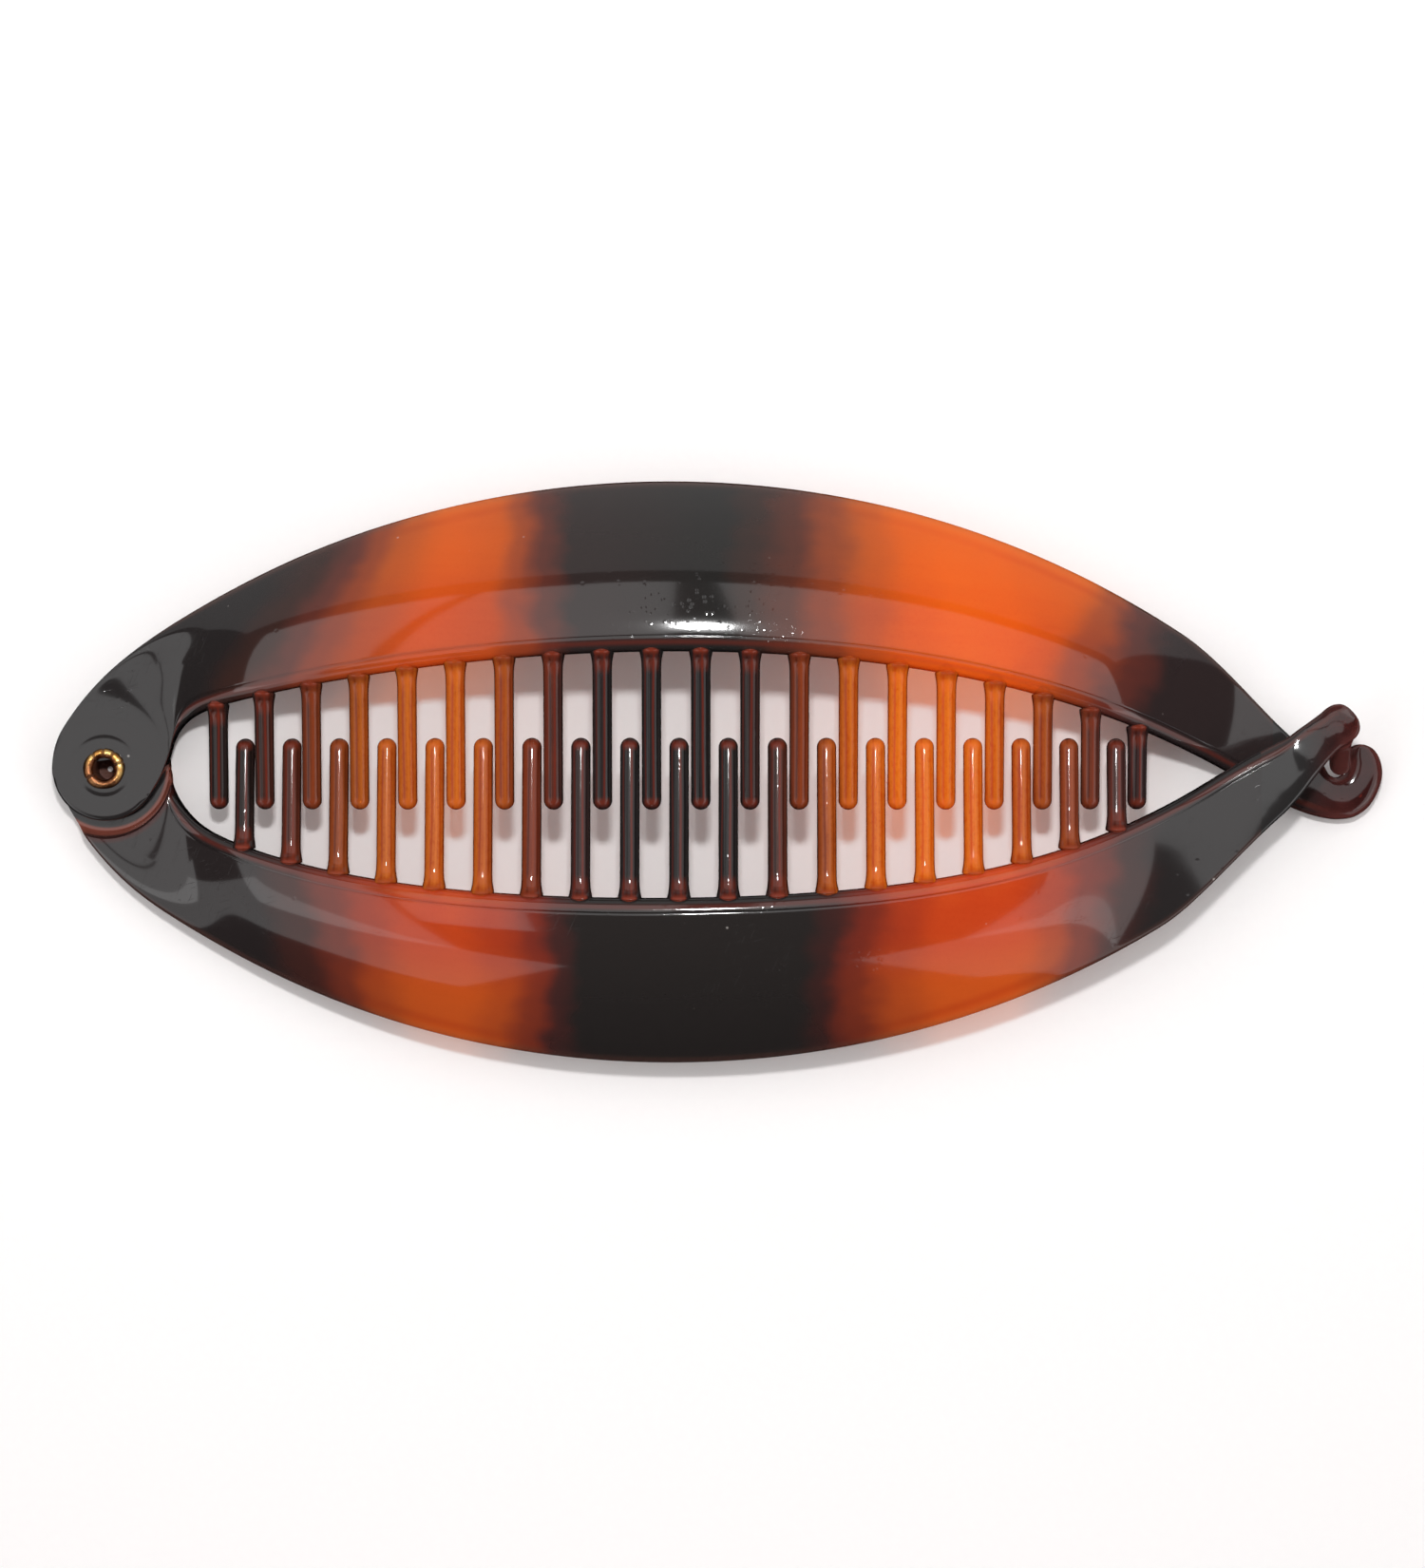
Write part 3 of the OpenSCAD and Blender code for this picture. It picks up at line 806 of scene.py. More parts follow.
@dataclass
class Arm:
    """One moulded arm: hinge end, crowned shell and tail, all in the arm's own half (y away from the line).

    Edge is what Outline.outer takes, and bow the inner edge's start, its bow, how much sharper that is
    towards the ends, and its run-out past the crossing. Ridge_run and rim_run say where the face falls to
    the tail's top, which is tail_top along the lip and rim_drop lower along the outer edge. Rim_start is
    how far the rim starts below the hinge's face, and over what length it climbs. Dip is how far the
    hinge's end of the ridge lies below the arch.
    """

    side: Side
    outline: Outline
    edge: tuple[float, float, float, float]
    bow: tuple[float, float, float, float]
    ridge_run: tuple[float, float]
    rim_run: tuple[float, float]
    rim_start: tuple[float, float]
    base: float
    neck: tuple[tuple[float, float], ...]
    hub_r: float
    hub_top: float
    blend_out: float
    tail_from: float
    tail: tuple[tuple[float, float, float, float], ...]
    tail_node: str
    tail_top: float
    tail_thick: float
    turn_up: float = 0.0
    rim_drop: float = 0.0
    dip: float = 0.0

    @property
    def prefix(self) -> str:
        """The start of this arm's node names."""
        return self.side.name.lower()

    @property
    def body(self) -> str:
        """The CAD body that carries the arm."""
        return f"{self.prefix}_arm"

    def inner(self, x: Any) -> Any:
        """Inner edge's distance from the hinge line: a bow over the chord from opening to crossing."""
        o = self.outline
        cross = o.tail_x - o.crossing
        u = (x - o.open_x) / (cross - o.open_x)
        c = 2 * u - 1
        start, rise, sharpen, run_out = self.bow
        bow = start * (1 - u) + 4 * u * (1 - u) * (rise + o.skew * c + sharpen * c * c)
        return bow + run_out * np.maximum(x - cross, 0) ** 2

    def outer(self, x: Any) -> Any:
        """Outer edge's distance from the hinge line."""
        return self.outline.outer(x, self.edge)

    def ridge(self, x: Any) -> Any:
        """Height of the face along the lip."""
        o = self.outline
        lift = o.arch(np.clip(x, -20, 140)) - self.dip * (1 - ease(x / 60))
        start = mix(o.hinge_top, lift, ease((x - 3) / 13))
        return mix(start, self.tail_top, o.nearing(x, *self.ridge_run))

    def rim(self, x: Any) -> Any:
        """Height of the face along the outer edge."""
        o = self.outline
        below, over = self.rim_start
        start = mix(o.hinge_top - below, o.edge_height, ease(x / over))
        return mix(start, self.tail_top - self.rim_drop, o.nearing(x, *self.rim_run))

    def thickness(self, x: Any) -> tuple[Any, Any]:
        """Lip depth and wall thickness along the arm."""
        o = self.outline
        near, tail = ease((x - 2) / 10), o.nearing(x, 32, 25)
        lip, wall = (mix(mix(o.boss_t, deep, near), self.tail_thick, tail) for deep in (o.lip_depth, o.wall))
        return lip, wall

    def hinge_rows(self, count: int) -> Array:
        """The hinge end as a patch between four edges.

        The first row lies on the hub's circle, the last one square across the arm where the opening's
        round end stops, and the rows start on the neck's curve and end on the outer edge. A point is the
        sum of the two edge blends less the blend of the corners.

        Args:
            count: how many rows.

        Returns:
            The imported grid, rows by section points.
        """
        o = self.outline
        s = np.linspace(0, 1, count)[:, None] ** 1.5
        corner, past = ((x, float(self.inner(x))) for x in (o.open_x, o.open_x + 1.5))
        lip_curve = spline([*self.neck, corner, past], 400)
        lip_curve = even_path(lip_curve[: int(np.argmax(lip_curve[:, 0] >= o.open_x - 1e-6)) + 1], 400)
        lip_curve[-1] = corner
        edge = self.hinge_edge()
        edge = even_path(edge[np.linalg.norm(edge, axis=1) >= self.hub_r - 1e-9], 400)
        a0, a1 = (math.degrees(math.atan2(curve[0, 1], curve[0, 0])) for curve in (lip_curve, edge))

        def at(curve: Array, u: Array) -> Array:
            """The points at shares of a curve's length."""
            even = np.linspace(0, 1, len(curve))
            return np.stack([np.interp(u, even, curve[:, k]) for k in (0, 1)], -1)

        def patch(u: Array, q: Array) -> Array:
            """The point at share u along the neck and share q across."""
            u3, q3 = u[..., None], q[..., None]
            arc, flat = polar(self.hub_r, mix(a0, a1, q)), mix(lip_curve[-1], edge[-1], q3)
            c00, c01 = (polar(self.hub_r, np.array(a)) for a in (a0, a1))
            corners = mix(mix(c00, c01, q3), flat, u3)
            return mix(at(lip_curve, u), at(edge, u), q3) + mix(arc, flat, u3) - corners

        across = np.linspace(0, 1, 80)[None]
        trial = patch(*np.broadcast_arrays(s, across))
        w = np.linalg.norm(np.diff(trial, axis=1), axis=2).sum(1)
        x_lip, x_edge = at(lip_curve, s[:, 0])[:, 0], at(edge, s[:, 0])[:, 0]
        lip, t = self.thickness(x_lip)
        lip_w, drop = mix(1.35, o.lip_width, ease(s[:, 0] * 3)), mix(1.9, 1.2, ease(s[:, 0] * 1.4))
        ridge = self.ridge(x_lip)
        p, z, top = section(w, ridge, self.rim(x_edge), lip, t, lip_w, drop)
        q = np.clip(p / w[:, None], 0, 1)
        xy = patch(np.broadcast_to(s, q.shape), q)
        up = ease((np.linalg.norm(xy, axis=-1) - self.hub_r) / self.blend_out)
        on_lip = (top >= 0.5) & (p < lip_w[:, None])
        rounded = np.where(on_lip, np.minimum(z - ridge[:, None], 0), 0)
        z_top = self.hub_top + rounded + (z - rounded - self.hub_top) * up
        thick = np.minimum(mix(self.hub_top - self.base, 1.0, up), 1.0)
        z_low = np.maximum(mix(self.base, z, up), self.base * (1 - up))
        z = np.where(top >= 0.5, z_top, np.minimum(z_low, z_top - thick * 0.8))
        return packed(xy, z, p, w)

    def hinge_edge(self) -> Array:
        """Points of the outer edge from the boss's far side to the opening."""
        o = self.outline
        xs = mix(-o.boss_r, o.open_x, np.linspace(0, 1, 1500) ** 2)
        return np.stack([xs, self.outer(xs)], -1)

    def arm_rows(self, count: int) -> Array:
        """Square sections along the arm, from the opening's near end to the tail."""
        o = self.outline
        x = np.linspace(o.open_x, self.tail_from, count)
        y0, y1 = self.inner(x), self.outer(x)
        w = y1 - y0
        p, z, _ = section(w, self.ridge(x), self.rim(x), *self.thickness(x), o.lip_width)
        xy = np.stack([np.broadcast_to(x[:, None], p.shape), y0[:, None] + p], -1)
        return packed(xy, z, p, w)

    def tail_rows(self, count: int) -> Array:
        """The tail, between an inner and an outer curve that meet at its tip.

        The tail's stations pair a point of the inner curve with one of the outer, and sections join them
        straight across. They start as the arm's own section and round off into a pillow: half the width
        times the cosine to the power 0.8, half the thickness times the sine to the power 0.62. Near the tip
        the thickness follows a quarter circle down to nothing.
        """
        x0 = self.tail_from
        start = [(x, float(self.inner(x)), x, float(self.outer(x))) for x in (x0 - 3, x0)]
        pairs = np.array([*start, *self.tail])
        s = 1 - (1 - np.linspace(0, 1, count)) ** 1.25
        both = through(pairs, 1 + s * (len(pairs) - 2))
        a, b = both[:, :2], both[:, 2:]
        w = np.maximum(np.linalg.norm(b - a, axis=1), 0.02)
        full = np.maximum(w, 4.0)
        rise, level = self.turn_up * ease(s * 1.15 - 0.15), ease(s * 2.2)
        ridge, rim = (mix(height(x0), self.tail_top, level) + rise for height in (self.ridge, self.rim))
        lip_w = np.minimum(self.outline.lip_width, full * 0.3)
        p, z, _ = section(full, ridge, rim, *self.thickness(x0), lip_w)
        angle = pillow_angles()[None]
        bend = lambda c, power: np.sign(c) * np.abs(c) ** power
        end = np.sqrt(np.clip(1 - np.clip((s - 0.86) / 0.14, 0, 1) ** 2, 0.0004, 1))[:, None]
        half = self.tail_thick / 2
        soft_q = 0.5 - 0.5 * bend(-np.cos(angle), 0.8)
        soft_z = ridge[:, None] - half + half * end * bend(np.sin(angle), 0.62)
        grow = ease(s * 3.2)[:, None]
        q = mix(p / full[:, None], soft_q, grow)
        xy = a[:, None] + (b - a)[:, None] * q[..., None]
        return packed(xy, mix(z, soft_z, grow), q * w[:, None], w)

    def stand(self, name: str, rows: Array) -> bpy.types.Object:
        """Makes a packed grid into a skin on the arm's side."""
        p, w = rows[..., 3], rows[..., 4]
        grid = rows[..., :3] * np.array([1, self.side.value, 1])
        return skin(name, grid, from_lip=p, from_edge=np.maximum(w - p, 0))

    def build(self, finish: bpy.types.Material, tail_finish: bpy.types.Material) -> None:
        """Builds the shell and the tail as one grid, softens their joins, and dresses both."""
        rows = [self.hinge_rows(HINGE_ROWS), self.arm_rows(ARM_ROWS), self.tail_rows(TAIL_ROWS)]
        hinge, tail = len(rows[0]) - 1, len(rows[0]) + len(rows[1]) - 2
        grid = np.concatenate([rows[0], rows[1][1:], rows[2][1:]])
        grid = soften(soften(grid, hinge, *HINGE_JOIN), tail, *TAIL_JOIN)
        shell = self.stand(f"{self.prefix}_arm_shell", grid[: tail + 1])
        settle(shell, self.body, "arm_tortoiseshell", finish, f"{self.prefix}_shell")
        end = self.stand(f"{self.prefix}_arm_{self.tail_node}", grid[tail:])
        settle(end, self.body, "tail_oxblood", tail_finish, self.tail_node)


@dataclass
class Boss:
    """A round hinge boss with a hole, whose outline may bulge on one side.

    Sink and sink_r are the depth and radius of the counterbore below, edge the rounding of its rim, and
    dish the depth of the faint ring pressed into its face round the eyelet.
    """

    name: str
    node: str
    body: str
    base: float
    top: float
    hole_r: float = 1.7
    edge: float = 0.45
    sink_r: float = 0.0
    sink: float = 0.0
    dish: float = 0.0

    def build(self, reach: Curve, free: Curve, finish: bpy.types.Material) -> None:
        """Carries the boss's profile round the hinge's axis.

        The profile goes up the hole, out over the face, down the rounded edge and back underneath. The
        radius at the edge is reach(angle), and the edge's rounding is scaled by free(angle).

        Args:
            reach: outer radius by angle in degrees.
            free: 1 where the edge shows and is rounded, 0 where it runs into the arm.
            finish: the material.
        """
        angle = np.linspace(-180, 180, 181)[:-1, None]
        r_out, soft = reach(angle), free(angle) * self.edge
        turn = quarter(9)[None]
        inside, roof = max(self.sink_r, self.hole_r), self.base + self.sink
        hole = np.array([[inside, inside, self.hole_r, self.hole_r]])
        hole_z = np.array([[self.base, roof, roof, self.top - 0.12]])
        face = mix(self.hole_r + 0.12, r_out - soft, np.linspace(0, 1, 16)[None])
        face_z = self.top - self.dish * np.exp(-(((face - 3.25) / 0.42) ** 2))
        side = r_out - soft * (1 - np.sin(turn))
        side_z = self.top - soft * (1 - np.cos(turn))
        foot, foot_z = np.concatenate([r_out, r_out - 0.2], 1), np.array([[self.base + 0.2, self.base]])
        runs = (hole, hole_z), (face, face_z), (side[:, 1:], side_z[:, 1:]), (foot, foot_z)
        grid, r, _ = around(angle, *runs)
        far = np.full(r.shape, 5.0)
        piece = skin(self.name, grid, wrap=True, from_lip=far, from_edge=far)
        settle(piece, self.body, "arm_tortoiseshell", finish, self.node)


@dataclass
class Eyelet:
    """The hollow rivet: bottom flange, shank and a rolled rim with splits in it."""

    bore: float = 1.2
    shank: float = 1.65
    rim: float = 2.3
    flange: float = 0.4
    foot: float = 0.3
    seat: float = 4.85
    height: float = 0.62
    splits: tuple[float, ...] = (128.0, 92.0, 58.0, 20.0, -150.0)

    def build(self, finish: bpy.types.Material) -> None:
        """Carries the profile round the axis.

        The rim is a half ring whose radius swings by a few hundredths with the angle, and each split is a
        narrow bell-shaped dip across it.
        """
        angle = np.linspace(0, 360, 289)[:-1, None]
        turn = np.radians(np.linspace(180, 0, 18))[None]
        gap = (angle - np.array(self.splits)[None] + 180) % 360 - 180
        split = np.exp(-((gap / 3.4) ** 2)).max(1)[:, None]
        swing = 0.05 * np.sin(np.radians(angle * 2 + 40)) + 0.03 * np.sin(np.radians(angle * 5))
        uneven = swing - 0.12 * split
        curl = (self.rim - self.bore) / 2
        ring_r = self.bore + curl + (curl + uneven) * np.cos(turn)
        ring_z = self.seat + (self.height * (1 - 0.28 * split) + 0.3 * uneven) * np.sin(turn)
        rim, flange, foot = self.rim, self.flange, self.foot
        low = np.array([[rim - 0.06, rim, rim, rim - 0.06, foot + 0.1, foot, foot, foot + 0.1, self.bore]])
        low_z = np.array([[flange, flange - 0.06, 0.06, 0.0, 0.0, 0.06, 0.16, 0.22, 0.45]])
        shank, shank_z = np.array([[self.shank, self.shank]]), np.array([[self.seat, flange]])
        grid, r, z = around(angle, (ring_r, ring_z), (shank, shank_z), (low, low_z))
        crack = np.broadcast_to(split, r.shape) * (z > self.seat - 0.01)
        # The bore mark: where the brass finish paints shade inside the eyelet's bore.
        bore = (r < self.bore + 0.05) * ease((self.seat + 0.35 - z) / 0.5)
        crest = ease((z - self.seat - 0.2) / 0.3) * ease((r - self.bore - 0.35) / 0.18)
        piece = skin("brass_eyelet", grid, wrap=True, sharp=50, crack=crack, bore=bore, crest=crest)
        settle(piece, "eyelet", "eyelet_brass", finish, "hinge_eyelet")


@dataclass
class Tooth:
    """A round comb tooth with a ball end, a flared root and a small dome where it meets the lip.

    Reach is how far its tip goes past the hinge line, slope its fall in degrees, bury how deep it starts
    in the lip, and neck where its fine rows end.
    """

    arm: Arm
    number: int
    x: float
    reach: float
    radius: float = 1.06
    slope: float = 6.0
    flare: float = 0.24
    bury: float = 1.15
    neck: float = 3.2

    def build(self, finish: bpy.types.Material) -> None:
        """Carries a circle along the tooth.

        The radius is the tooth's own, plus a flare that dies off exponentially from the lip, and at the
        tip and in the lip it closes by a quarter circle. The line slopes down evenly from the lip to the
        tip, and close to the lip it bends up into the dome.
        """
        arm, radius = self.arm, self.radius
        root = float(arm.inner(self.x))
        lip_z = float(arm.ridge(self.x)) - arm.outline.lip_depth / 2 - 0.3
        length = root + self.reach
        heel, toe = radius * 0.8, length - radius
        run = np.concatenate([
            -self.bury + heel * (1 - np.cos(quarter(9))),
            np.linspace(-self.bury + heel, self.neck, 22)[1:],
            np.linspace(self.neck, toe, 12)[1:],
            toe + radius * np.sin(quarter(12)[1:]),
        ])
        tip = np.clip((run - toe) / radius, 0, 1)
        back = np.clip((heel - self.bury - run) / heel, 0, 1)
        flare = self.flare * np.exp(-((np.maximum(run, 0) / 0.75) ** 1.4)) * (run > -0.3)
        full = radius * (1 - 0.22 * ease(-run / 0.8)) + flare
        closing = np.sqrt(np.maximum(1 - tip**2, 0)) * np.sqrt(np.maximum(1 - back**2, 0))
        r = np.maximum(full * closing, 0.004)
        drop = math.tan(math.radians(self.slope))
        middle = lip_z - (run + 0.9) * drop + 0.62 * ease((0.9 - run) / 1.5)
        run, r, full, middle = (a[:, None] for a in (run, r, full, middle))
        y = np.broadcast_to((root - run) * arm.side.value, (len(run), RING.size))
        grid = np.stack([self.x + r * np.cos(RING), y, middle + self.lift(run) * r * np.sin(RING)], -1)
        piece = skin(f"{arm.prefix}_comb_tooth_{self.number}", grid, across=np.cos(RING) * (r / full),
                     from_tip=length - run, from_root=run + 0.3)
        settle(piece, arm.body, "comb_tortoiseshell", finish, f"{arm.prefix}_tooth_{self.number}")

    def lift(self, run: Array) -> Array:
        """How tall the section is for its width: a little taller in the gusset under the lip."""
        return 1 + 0.25 * np.exp(-np.abs(run) / 0.6)


@dataclass
class Finger:
    """The catch finger under the thumb tab, which drops into the notch."""

    top: tuple[float, float, float] = (136.95, 3.4, 9.6)
    low: tuple[float, float, float] = (137.75, 0.5, 4.75)
    radius: float = 1.2

    def build(self, finish: bpy.types.Material) -> None:
        """Carries a circle down a straight line, with a ball end."""
        a, b = np.array(self.top), np.array(self.low)
        length = np.linalg.norm(b - a)
        way = (b - a) / length
        across = np.cross(way, [0, 1.0, 0])
        across /= np.linalg.norm(across)
        other = np.cross(way, across)
        bend = quarter(12)[1:]
        shaft = np.linspace(0, length, 10)
        run = np.concatenate([shaft, length + self.radius * np.sin(bend)])[:, None, None]
        share = np.concatenate([1 + 0.25 * np.exp(-shaft / 0.9), np.maximum(np.cos(bend), 0.004)])
        r = self.radius * share[:, None, None]
        turn = RING[None, :, None]
        grid = a + run * way + r * (np.cos(turn) * across + np.sin(turn) * other)
        piece = skin("lower_arm_catch_finger", grid, from_lip=0.6, from_edge=0.6)
        settle(piece, "lower_arm", "tail_oxblood", finish, "catch_finger")


# ------------------------------------------------------------------ the whole clip


UPPER_BANDS = (
    (-8, 44, 41, 41), (9, 44, 40, 40), (14, 62, 42, 38), (18, 98, 50, 42), (22, 146, 64, 40),
    (27, 194, 84, 40), (34, 226, 98, 40), (43, 212, 90, 38), (47, 158, 68, 40), (50, 96, 50, 42),
    (53, 52, 43, 42),
    (69, 44, 42, 41), (72, 60, 44, 40), (76, 92, 50, 40), (80, 146, 66, 40), (85, 204, 90, 38),
    (90, 240, 112, 36), (95, 252, 122, 36), (99, 250, 118, 36), (103, 232, 104, 38), (107, 170, 72, 40),
    (111, 96, 50, 44), (115, 52, 42, 42), (146, 44, 40, 40),
)
LOWER_BANDS = (
    (-8, 44, 41, 41), (17, 46, 40, 40), (22, 72, 42, 38), (26, 122, 52, 40), (30, 172, 64, 38),
    (35, 208, 78, 38), (40, 212, 80, 38), (44, 188, 68, 38), (48, 134, 52, 40), (51, 74, 44, 42),
    (54, 46, 42, 41),
    (77, 46, 42, 41), (80, 66, 42, 40), (84, 128, 50, 38), (89, 190, 68, 38), (94, 220, 82, 38),
    (101, 222, 82, 38), (105, 190, 72, 42), (109, 132, 54, 42), (114, 68, 44, 42), (119, 46, 42, 42),
    (146, 44, 40, 40),
)
COMB_BANDS = (
    (-8, 44, 40, 40), (16, 48, 38, 36), (21, 88, 44, 34), (26, 138, 66, 34), (32, 190, 100, 36),
    (40, 202, 108, 38), (44, 176, 84, 36), (48, 118, 52, 34), (52, 62, 42, 40), (57, 44, 40, 40),
    (70, 44, 40, 40), (74, 66, 42, 38), (78, 132, 60, 34), (83, 200, 104, 34), (89, 226, 130, 36),
    (96, 222, 124, 36), (101, 196, 96, 36), (106, 150, 70, 40), (111, 88, 50, 44), (116, 58, 44, 44),
    (146, 46, 38, 38),
)


@dataclass
class CombClip:
    """The whole clip, with its ends and heights taken from the CAD frame.

    Comb_start is the first upper tooth's place and comb_tail how far the last is from the tail's end.
    Tooth_offset is how far a lower tooth stands before the upper one of the next number, the reaches are
    how far the tips go past the hinge line, and neck_angle is where the upper neck leaves its boss.
    """

    teeth: int = 20
    comb_start: float = 13.0
    comb_tail: float = 28.3
    tooth_offset: float = 2.36
    upper_reach: float = 4.5
    lower_reach: float = 3.35
    recess_r: float = 6.9
    neck_angle: float = -40.0

    def outline(self) -> Outline:
        """The shared sizes, fitted to the boxes of the CAD nodes."""
        hook, boss, shell = (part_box(n) for n in ("tail_hook", "upper_boss", "upper_shell"))
        return Outline(boss_r=boss[1].x / MM, tail_x=hook[1].x / MM, paddle_t=hook[1].z / MM,
                       arch_height=shell[1].z / MM)

    def arms(self, o: Outline) -> tuple[Arm, Arm]:
        """The upper and the lower arm."""
        start = tuple(polar(o.boss_r, self.neck_angle))
        upper = Arm(
            Side.UPPER, o, edge=(31.9, 6.2, 23, 26), bow=(6.7, 9.3, 1.3, 0.0), ridge_run=(32, 25),
            rim_run=(54, 46), rim_start=(0.0, 30), base=o.boss_t + o.boss_gap,
            neck=(start, (5.6, -2.1), (6.35, -0.6), (6.95, 0.8), (7.7, 3.2), (8.8, 5.1), (10.2, 6.25)),
            hub_r=o.boss_r, hub_top=o.hinge_top, blend_out=6.5, tail_from=131.0,
            tail=((132.9, -4.4, 133.5, 2.75), (134.8, -5.1, 135.4, 1.6), (136.4, -5.5, 136.35, 0.3),
                  (138.0, -5.65, 136.9, -0.6), (139.8, -5.35, 137.7, -0.95), (141.4, -4.2, 138.4, -0.65),
                  (142.45, -2.4, 138.85, 0.05), (142.9, -0.6, 139.0, 0.9), (142.65, 1.0, 138.95, 1.6),
                  (141.95, 2.15, 139.25, 2.25), (141.0, 2.68, 139.85, 2.64), (140.45, 2.76, 140.35, 2.76)),
            tail_node="tail_hook", tail_top=o.paddle_t, tail_thick=3.2)
        lower = Arm(
            Side.LOWER, o, edge=(32.6, 2.8, 26, 14), bow=(7.1, 10.4, 4.7, 0.045), ridge_run=(39, 29),
            rim_run=(84, 60), rim_start=(0.8, 40), base=0.0,
            neck=((self.recess_r, 0.1), (7.2, 1.2), (7.7, 2.6), (8.6, 4.1), (9.9, 5.6)),
            hub_r=self.recess_r, hub_top=o.boss_t, blend_out=0.95, tail_from=129.0,
            tail=((130.9, -3.15, 130.7, 5.1), (132.5, -4.35, 132.6, 3.05), (133.8, -5.3, 134.3, 0.85),
                  (134.7, -6.0, 135.65, -0.9), (135.35, -6.6, 136.75, -2.1), (135.9, -6.95, 137.8, -2.85),
                  (136.4, -7.08, 138.55, -3.5), (136.9, -7.05, 138.85, -4.3), (137.35, -6.82, 138.7, -5.2),
                  (137.95, -6.3, 138.2, -6.0)),
            tail_node="thumb_tab", tail_top=o.tail_height, tail_thick=2.0, turn_up=2.2, rim_drop=0.4,
            dip=1.2)
        return upper, lower

    def finishes(self) -> list[bpy.types.Material]:
        """The finishes of the upper arm, the lower arm and the comb."""
        return [finish.material() for finish in (
            Tortoiseshell("upper_arm_tortoiseshell", UPPER_BANDS, see_through=0.46, lean=(0.75, 0.4)),
            Tortoiseshell("lower_arm_tortoiseshell", LOWER_BANDS, see_through=0.34, shoulder=1.0,
                          lean=(0.1, -0.15)),
            CombTortoiseshell("comb_tortoiseshell", COMB_BANDS, see_through=0.4, wander=2.0, level=0.97),
        )]

    def build(self) -> None:
        """Builds every piece in order, from the hinge to the tail."""
        o = self.outline()
        upper, lower = self.arms(o)
        upper_finish, lower_finish, comb_finish = self.finishes()
        oxblood = Oxblood("tail_oxblood").material()
        upper.build(upper_finish, oxblood)
        lower.build(lower_finish, oxblood)
        self.bosses(o, lower, upper_finish, lower_finish)
        Eyelet().build(AgedBrass("eyelet_brass").material())
        Finger().build(oxblood)
        pitch = (o.tail_x - self.comb_tail - self.comb_start) / (self.teeth - 1)
        for i in range(self.teeth):
            Tooth(upper, i + 1, self.comb_start + i * pitch, self.upper_reach).build(comb_finish)
        for i in range(1, self.teeth):
            x = self.comb_start + i * pitch - self.tooth_offset
            Tooth(lower, i, x, self.lower_reach).build(comb_finish)

    def bosses(self, o: Outline, lower: Arm, *finishes: bpy.types.Material) -> None:
        """The two bosses: a free half edge on the upper, and a wide lug under it on the lower."""
        edge = lower.hinge_edge()
        edge_a, edge_r = np.degrees(np.arctan2(-edge[:, 1], edge[:, 0])), np.linalg.norm(edge, axis=1)

        def upper_reach(angle: Array) -> Array:
            """The boss's own circle."""
            return np.full(angle.shape, o.boss_r)

        def upper_free(angle: Array) -> Array:
            """Rounded where the arm doesn't join it."""
            return ease((-angle - 30) / 14) * ease((angle + 180) / 12)

        def lower_reach(angle: Array) -> Array:
            """Out to the recess's wall below the line, and to the boss's own circle above it."""
            below = np.minimum(np.interp(angle, edge_a, edge_r), self.recess_r)
            return np.where(angle < 0, below, mix(self.recess_r, o.boss_r, ease((angle - 8) / 20)))

        def lower_free(angle: Array) -> Array:
            """Rounded on the side away from the arm."""
            return ease(angle / 10) * ease((180 - angle) / 10)

        upper = Boss("upper_hinge_boss", "upper_boss", "upper_arm", o.boss_t + o.boss_gap, o.hinge_top,
                     dish=0.045)
        upper.build(upper_reach, upper_free, finishes[0])
        under = Boss("lower_hinge_boss", "lower_boss", "lower_arm", 0.0, o.boss_t,
                     edge=0.2, sink_r=2.4, sink=0.45)
        under.build(lower_reach, lower_free, finishes[1])


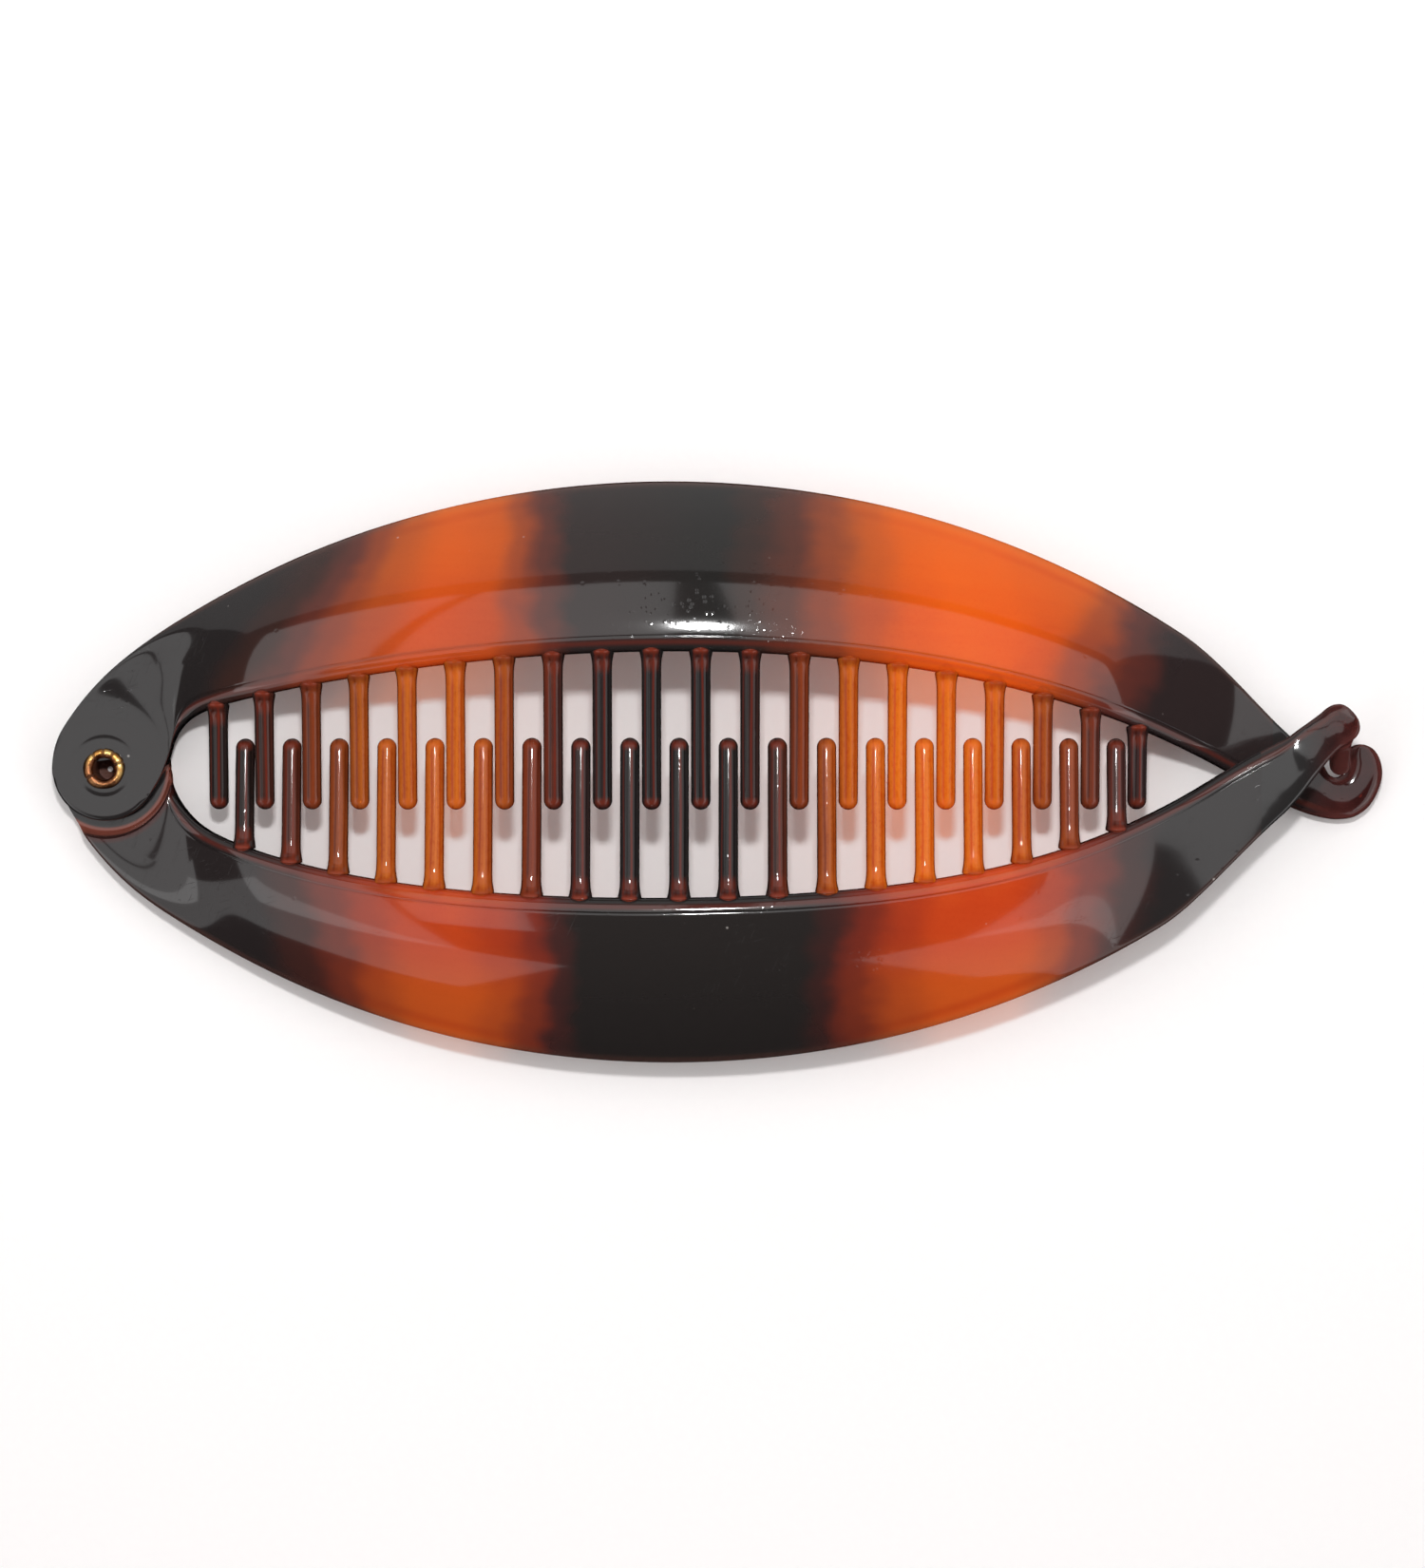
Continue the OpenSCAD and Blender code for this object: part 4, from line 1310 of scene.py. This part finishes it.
@dataclass
class Studio:
    """Floor, lights and camera, in metres.

    Ceiling cards are (name, left, right, near, far), measured from the centre. Glows are radiances.
    """

    centre: tuple[float, float] = (0.0678, -0.00169)
    distance: float = 0.450
    frame_height: float = 0.17655
    floor_half: float = 1.2
    flash_side: float = 0.112
    flash_glow: float = 345.0
    ceiling: float = 0.70
    ceiling_glow: float = 1.15
    wall_glow: float = 0.38
    near_glow: float = 0.85
    world_glow: float = 0.05
    cards: tuple[tuple[str, float, float, float, float], ...] = (
        ("ceiling_left", -1.05, -0.455, -0.06, 0.80), ("ceiling_middle", -0.415, -0.035, -0.06, 0.80),
        ("ceiling_right", 0.045, 1.0, -0.05, 0.80), ("ceiling_near_left", -1.2, -0.48, -0.7, -0.06),
        ("ceiling_hinge", -0.46, -0.25, -0.30, -0.06), ("ceiling_near_right", 0.50, 1.2, -0.7, -0.05),
    )

    def card(self, name: str, place: tuple[float, float, float], size: tuple[float, float], glow: float,
             aim: tuple[float, float, float]) -> None:
        """A rectangular light turned towards a point.

        Args:
            name: the light's name.
            place: its middle.
            size: its width and height.
            glow: its radiance, which times pi and its area is its power.
            aim: the point that it faces.
        """
        light = bpy.data.lights.new(name, "AREA")
        light.shape, light.size, light.size_y = "RECTANGLE", size[0], size[1]
        light.energy = glow * math.pi * size[0] * size[1]
        lamp = bpy.data.objects.new(name, light)
        lamp.location = place
        lamp.rotation_euler = (Vector(aim) - Vector(place)).to_track_quat("-Z", "Y").to_euler()
        lamp.visible_camera = False
        bpy.context.scene.collection.objects.link(lamp)

    def floor(self) -> None:
        """The surface under the clip, left out of reflections."""
        half = self.floor_half
        mesh = bpy.data.meshes.new("floor")
        corners = [(-half, -half, 0), (half, -half, 0), (half, half, 0), (-half, half, 0)]
        mesh.from_pydata(corners, [], [(0, 1, 2, 3)])
        mesh.materials.append(Paper("floor_paper").material())
        floor = bpy.data.objects.new("floor", mesh)
        floor.visible_glossy = False
        bpy.context.scene.collection.objects.link(floor)

    def lights(self) -> None:
        """A small flash beside the camera, ceiling cards, a far wall and two cards on the near side."""
        cx, cy = self.centre
        aim = (cx, cy, 0.01)
        self.card("flash", (cx, cy + self.flash_side, self.distance), (0.035, 0.025), self.flash_glow, aim)
        for name, left, right, near, far in self.cards:
            x, y = (left + right) / 2 + cx, (near + far) / 2 + cy
            self.card(name, (x, y, self.ceiling), (right - left, far - near), self.ceiling_glow, (x, y, 0.0))
        self.card("far_wall", (cx, cy + 1.05, -0.1), (3.0, 1.5), self.wall_glow, (cx, cy, -0.1))
        for name, x, y in (("near_left_card", -0.60, -0.56), ("near_right_card", 0.62, -0.52)):
            self.card(name, (cx + x, cy + y, 0.40), (0.85, 0.46), self.near_glow, aim)

    def surroundings(self) -> None:
        """A faint even light, left out of reflections."""
        world = bpy.data.worlds.new("surroundings")
        world.use_nodes = True
        ground = world.node_tree.nodes["Background"]
        ground.inputs[0].default_value = (1.0, 0.985, 0.975, 1)
        ground.inputs[1].default_value = self.world_glow
        world.cycles_visibility.glossy = False
        bpy.context.scene.world = world

    def camera(self) -> None:
        """The camera, straight above."""
        lens = bpy.data.cameras.new("camera")
        lens.sensor_width = 36
        lens.lens = lens.sensor_width * self.distance / self.frame_height
        camera = bpy.data.objects.new("camera", lens)
        camera.location = (*self.centre, self.distance)
        bpy.context.scene.collection.objects.link(camera)
        bpy.context.scene.camera = camera

    def build(self) -> None:
        """Adds the floor, the lights, the surroundings and the camera."""
        self.floor()
        self.lights()
        self.surroundings()
        self.camera()
        bpy.context.scene.view_settings.view_transform = "Standard"
        LOG.info("studio: floor, lights and camera")


def main() -> None:
    """Builds the studio and the clip."""
    logging.basicConfig(level=logging.INFO, format="%(name)s %(message)s")
    Studio().build()
    CombClip().build()
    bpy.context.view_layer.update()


if __name__ == "__main__":
    main()
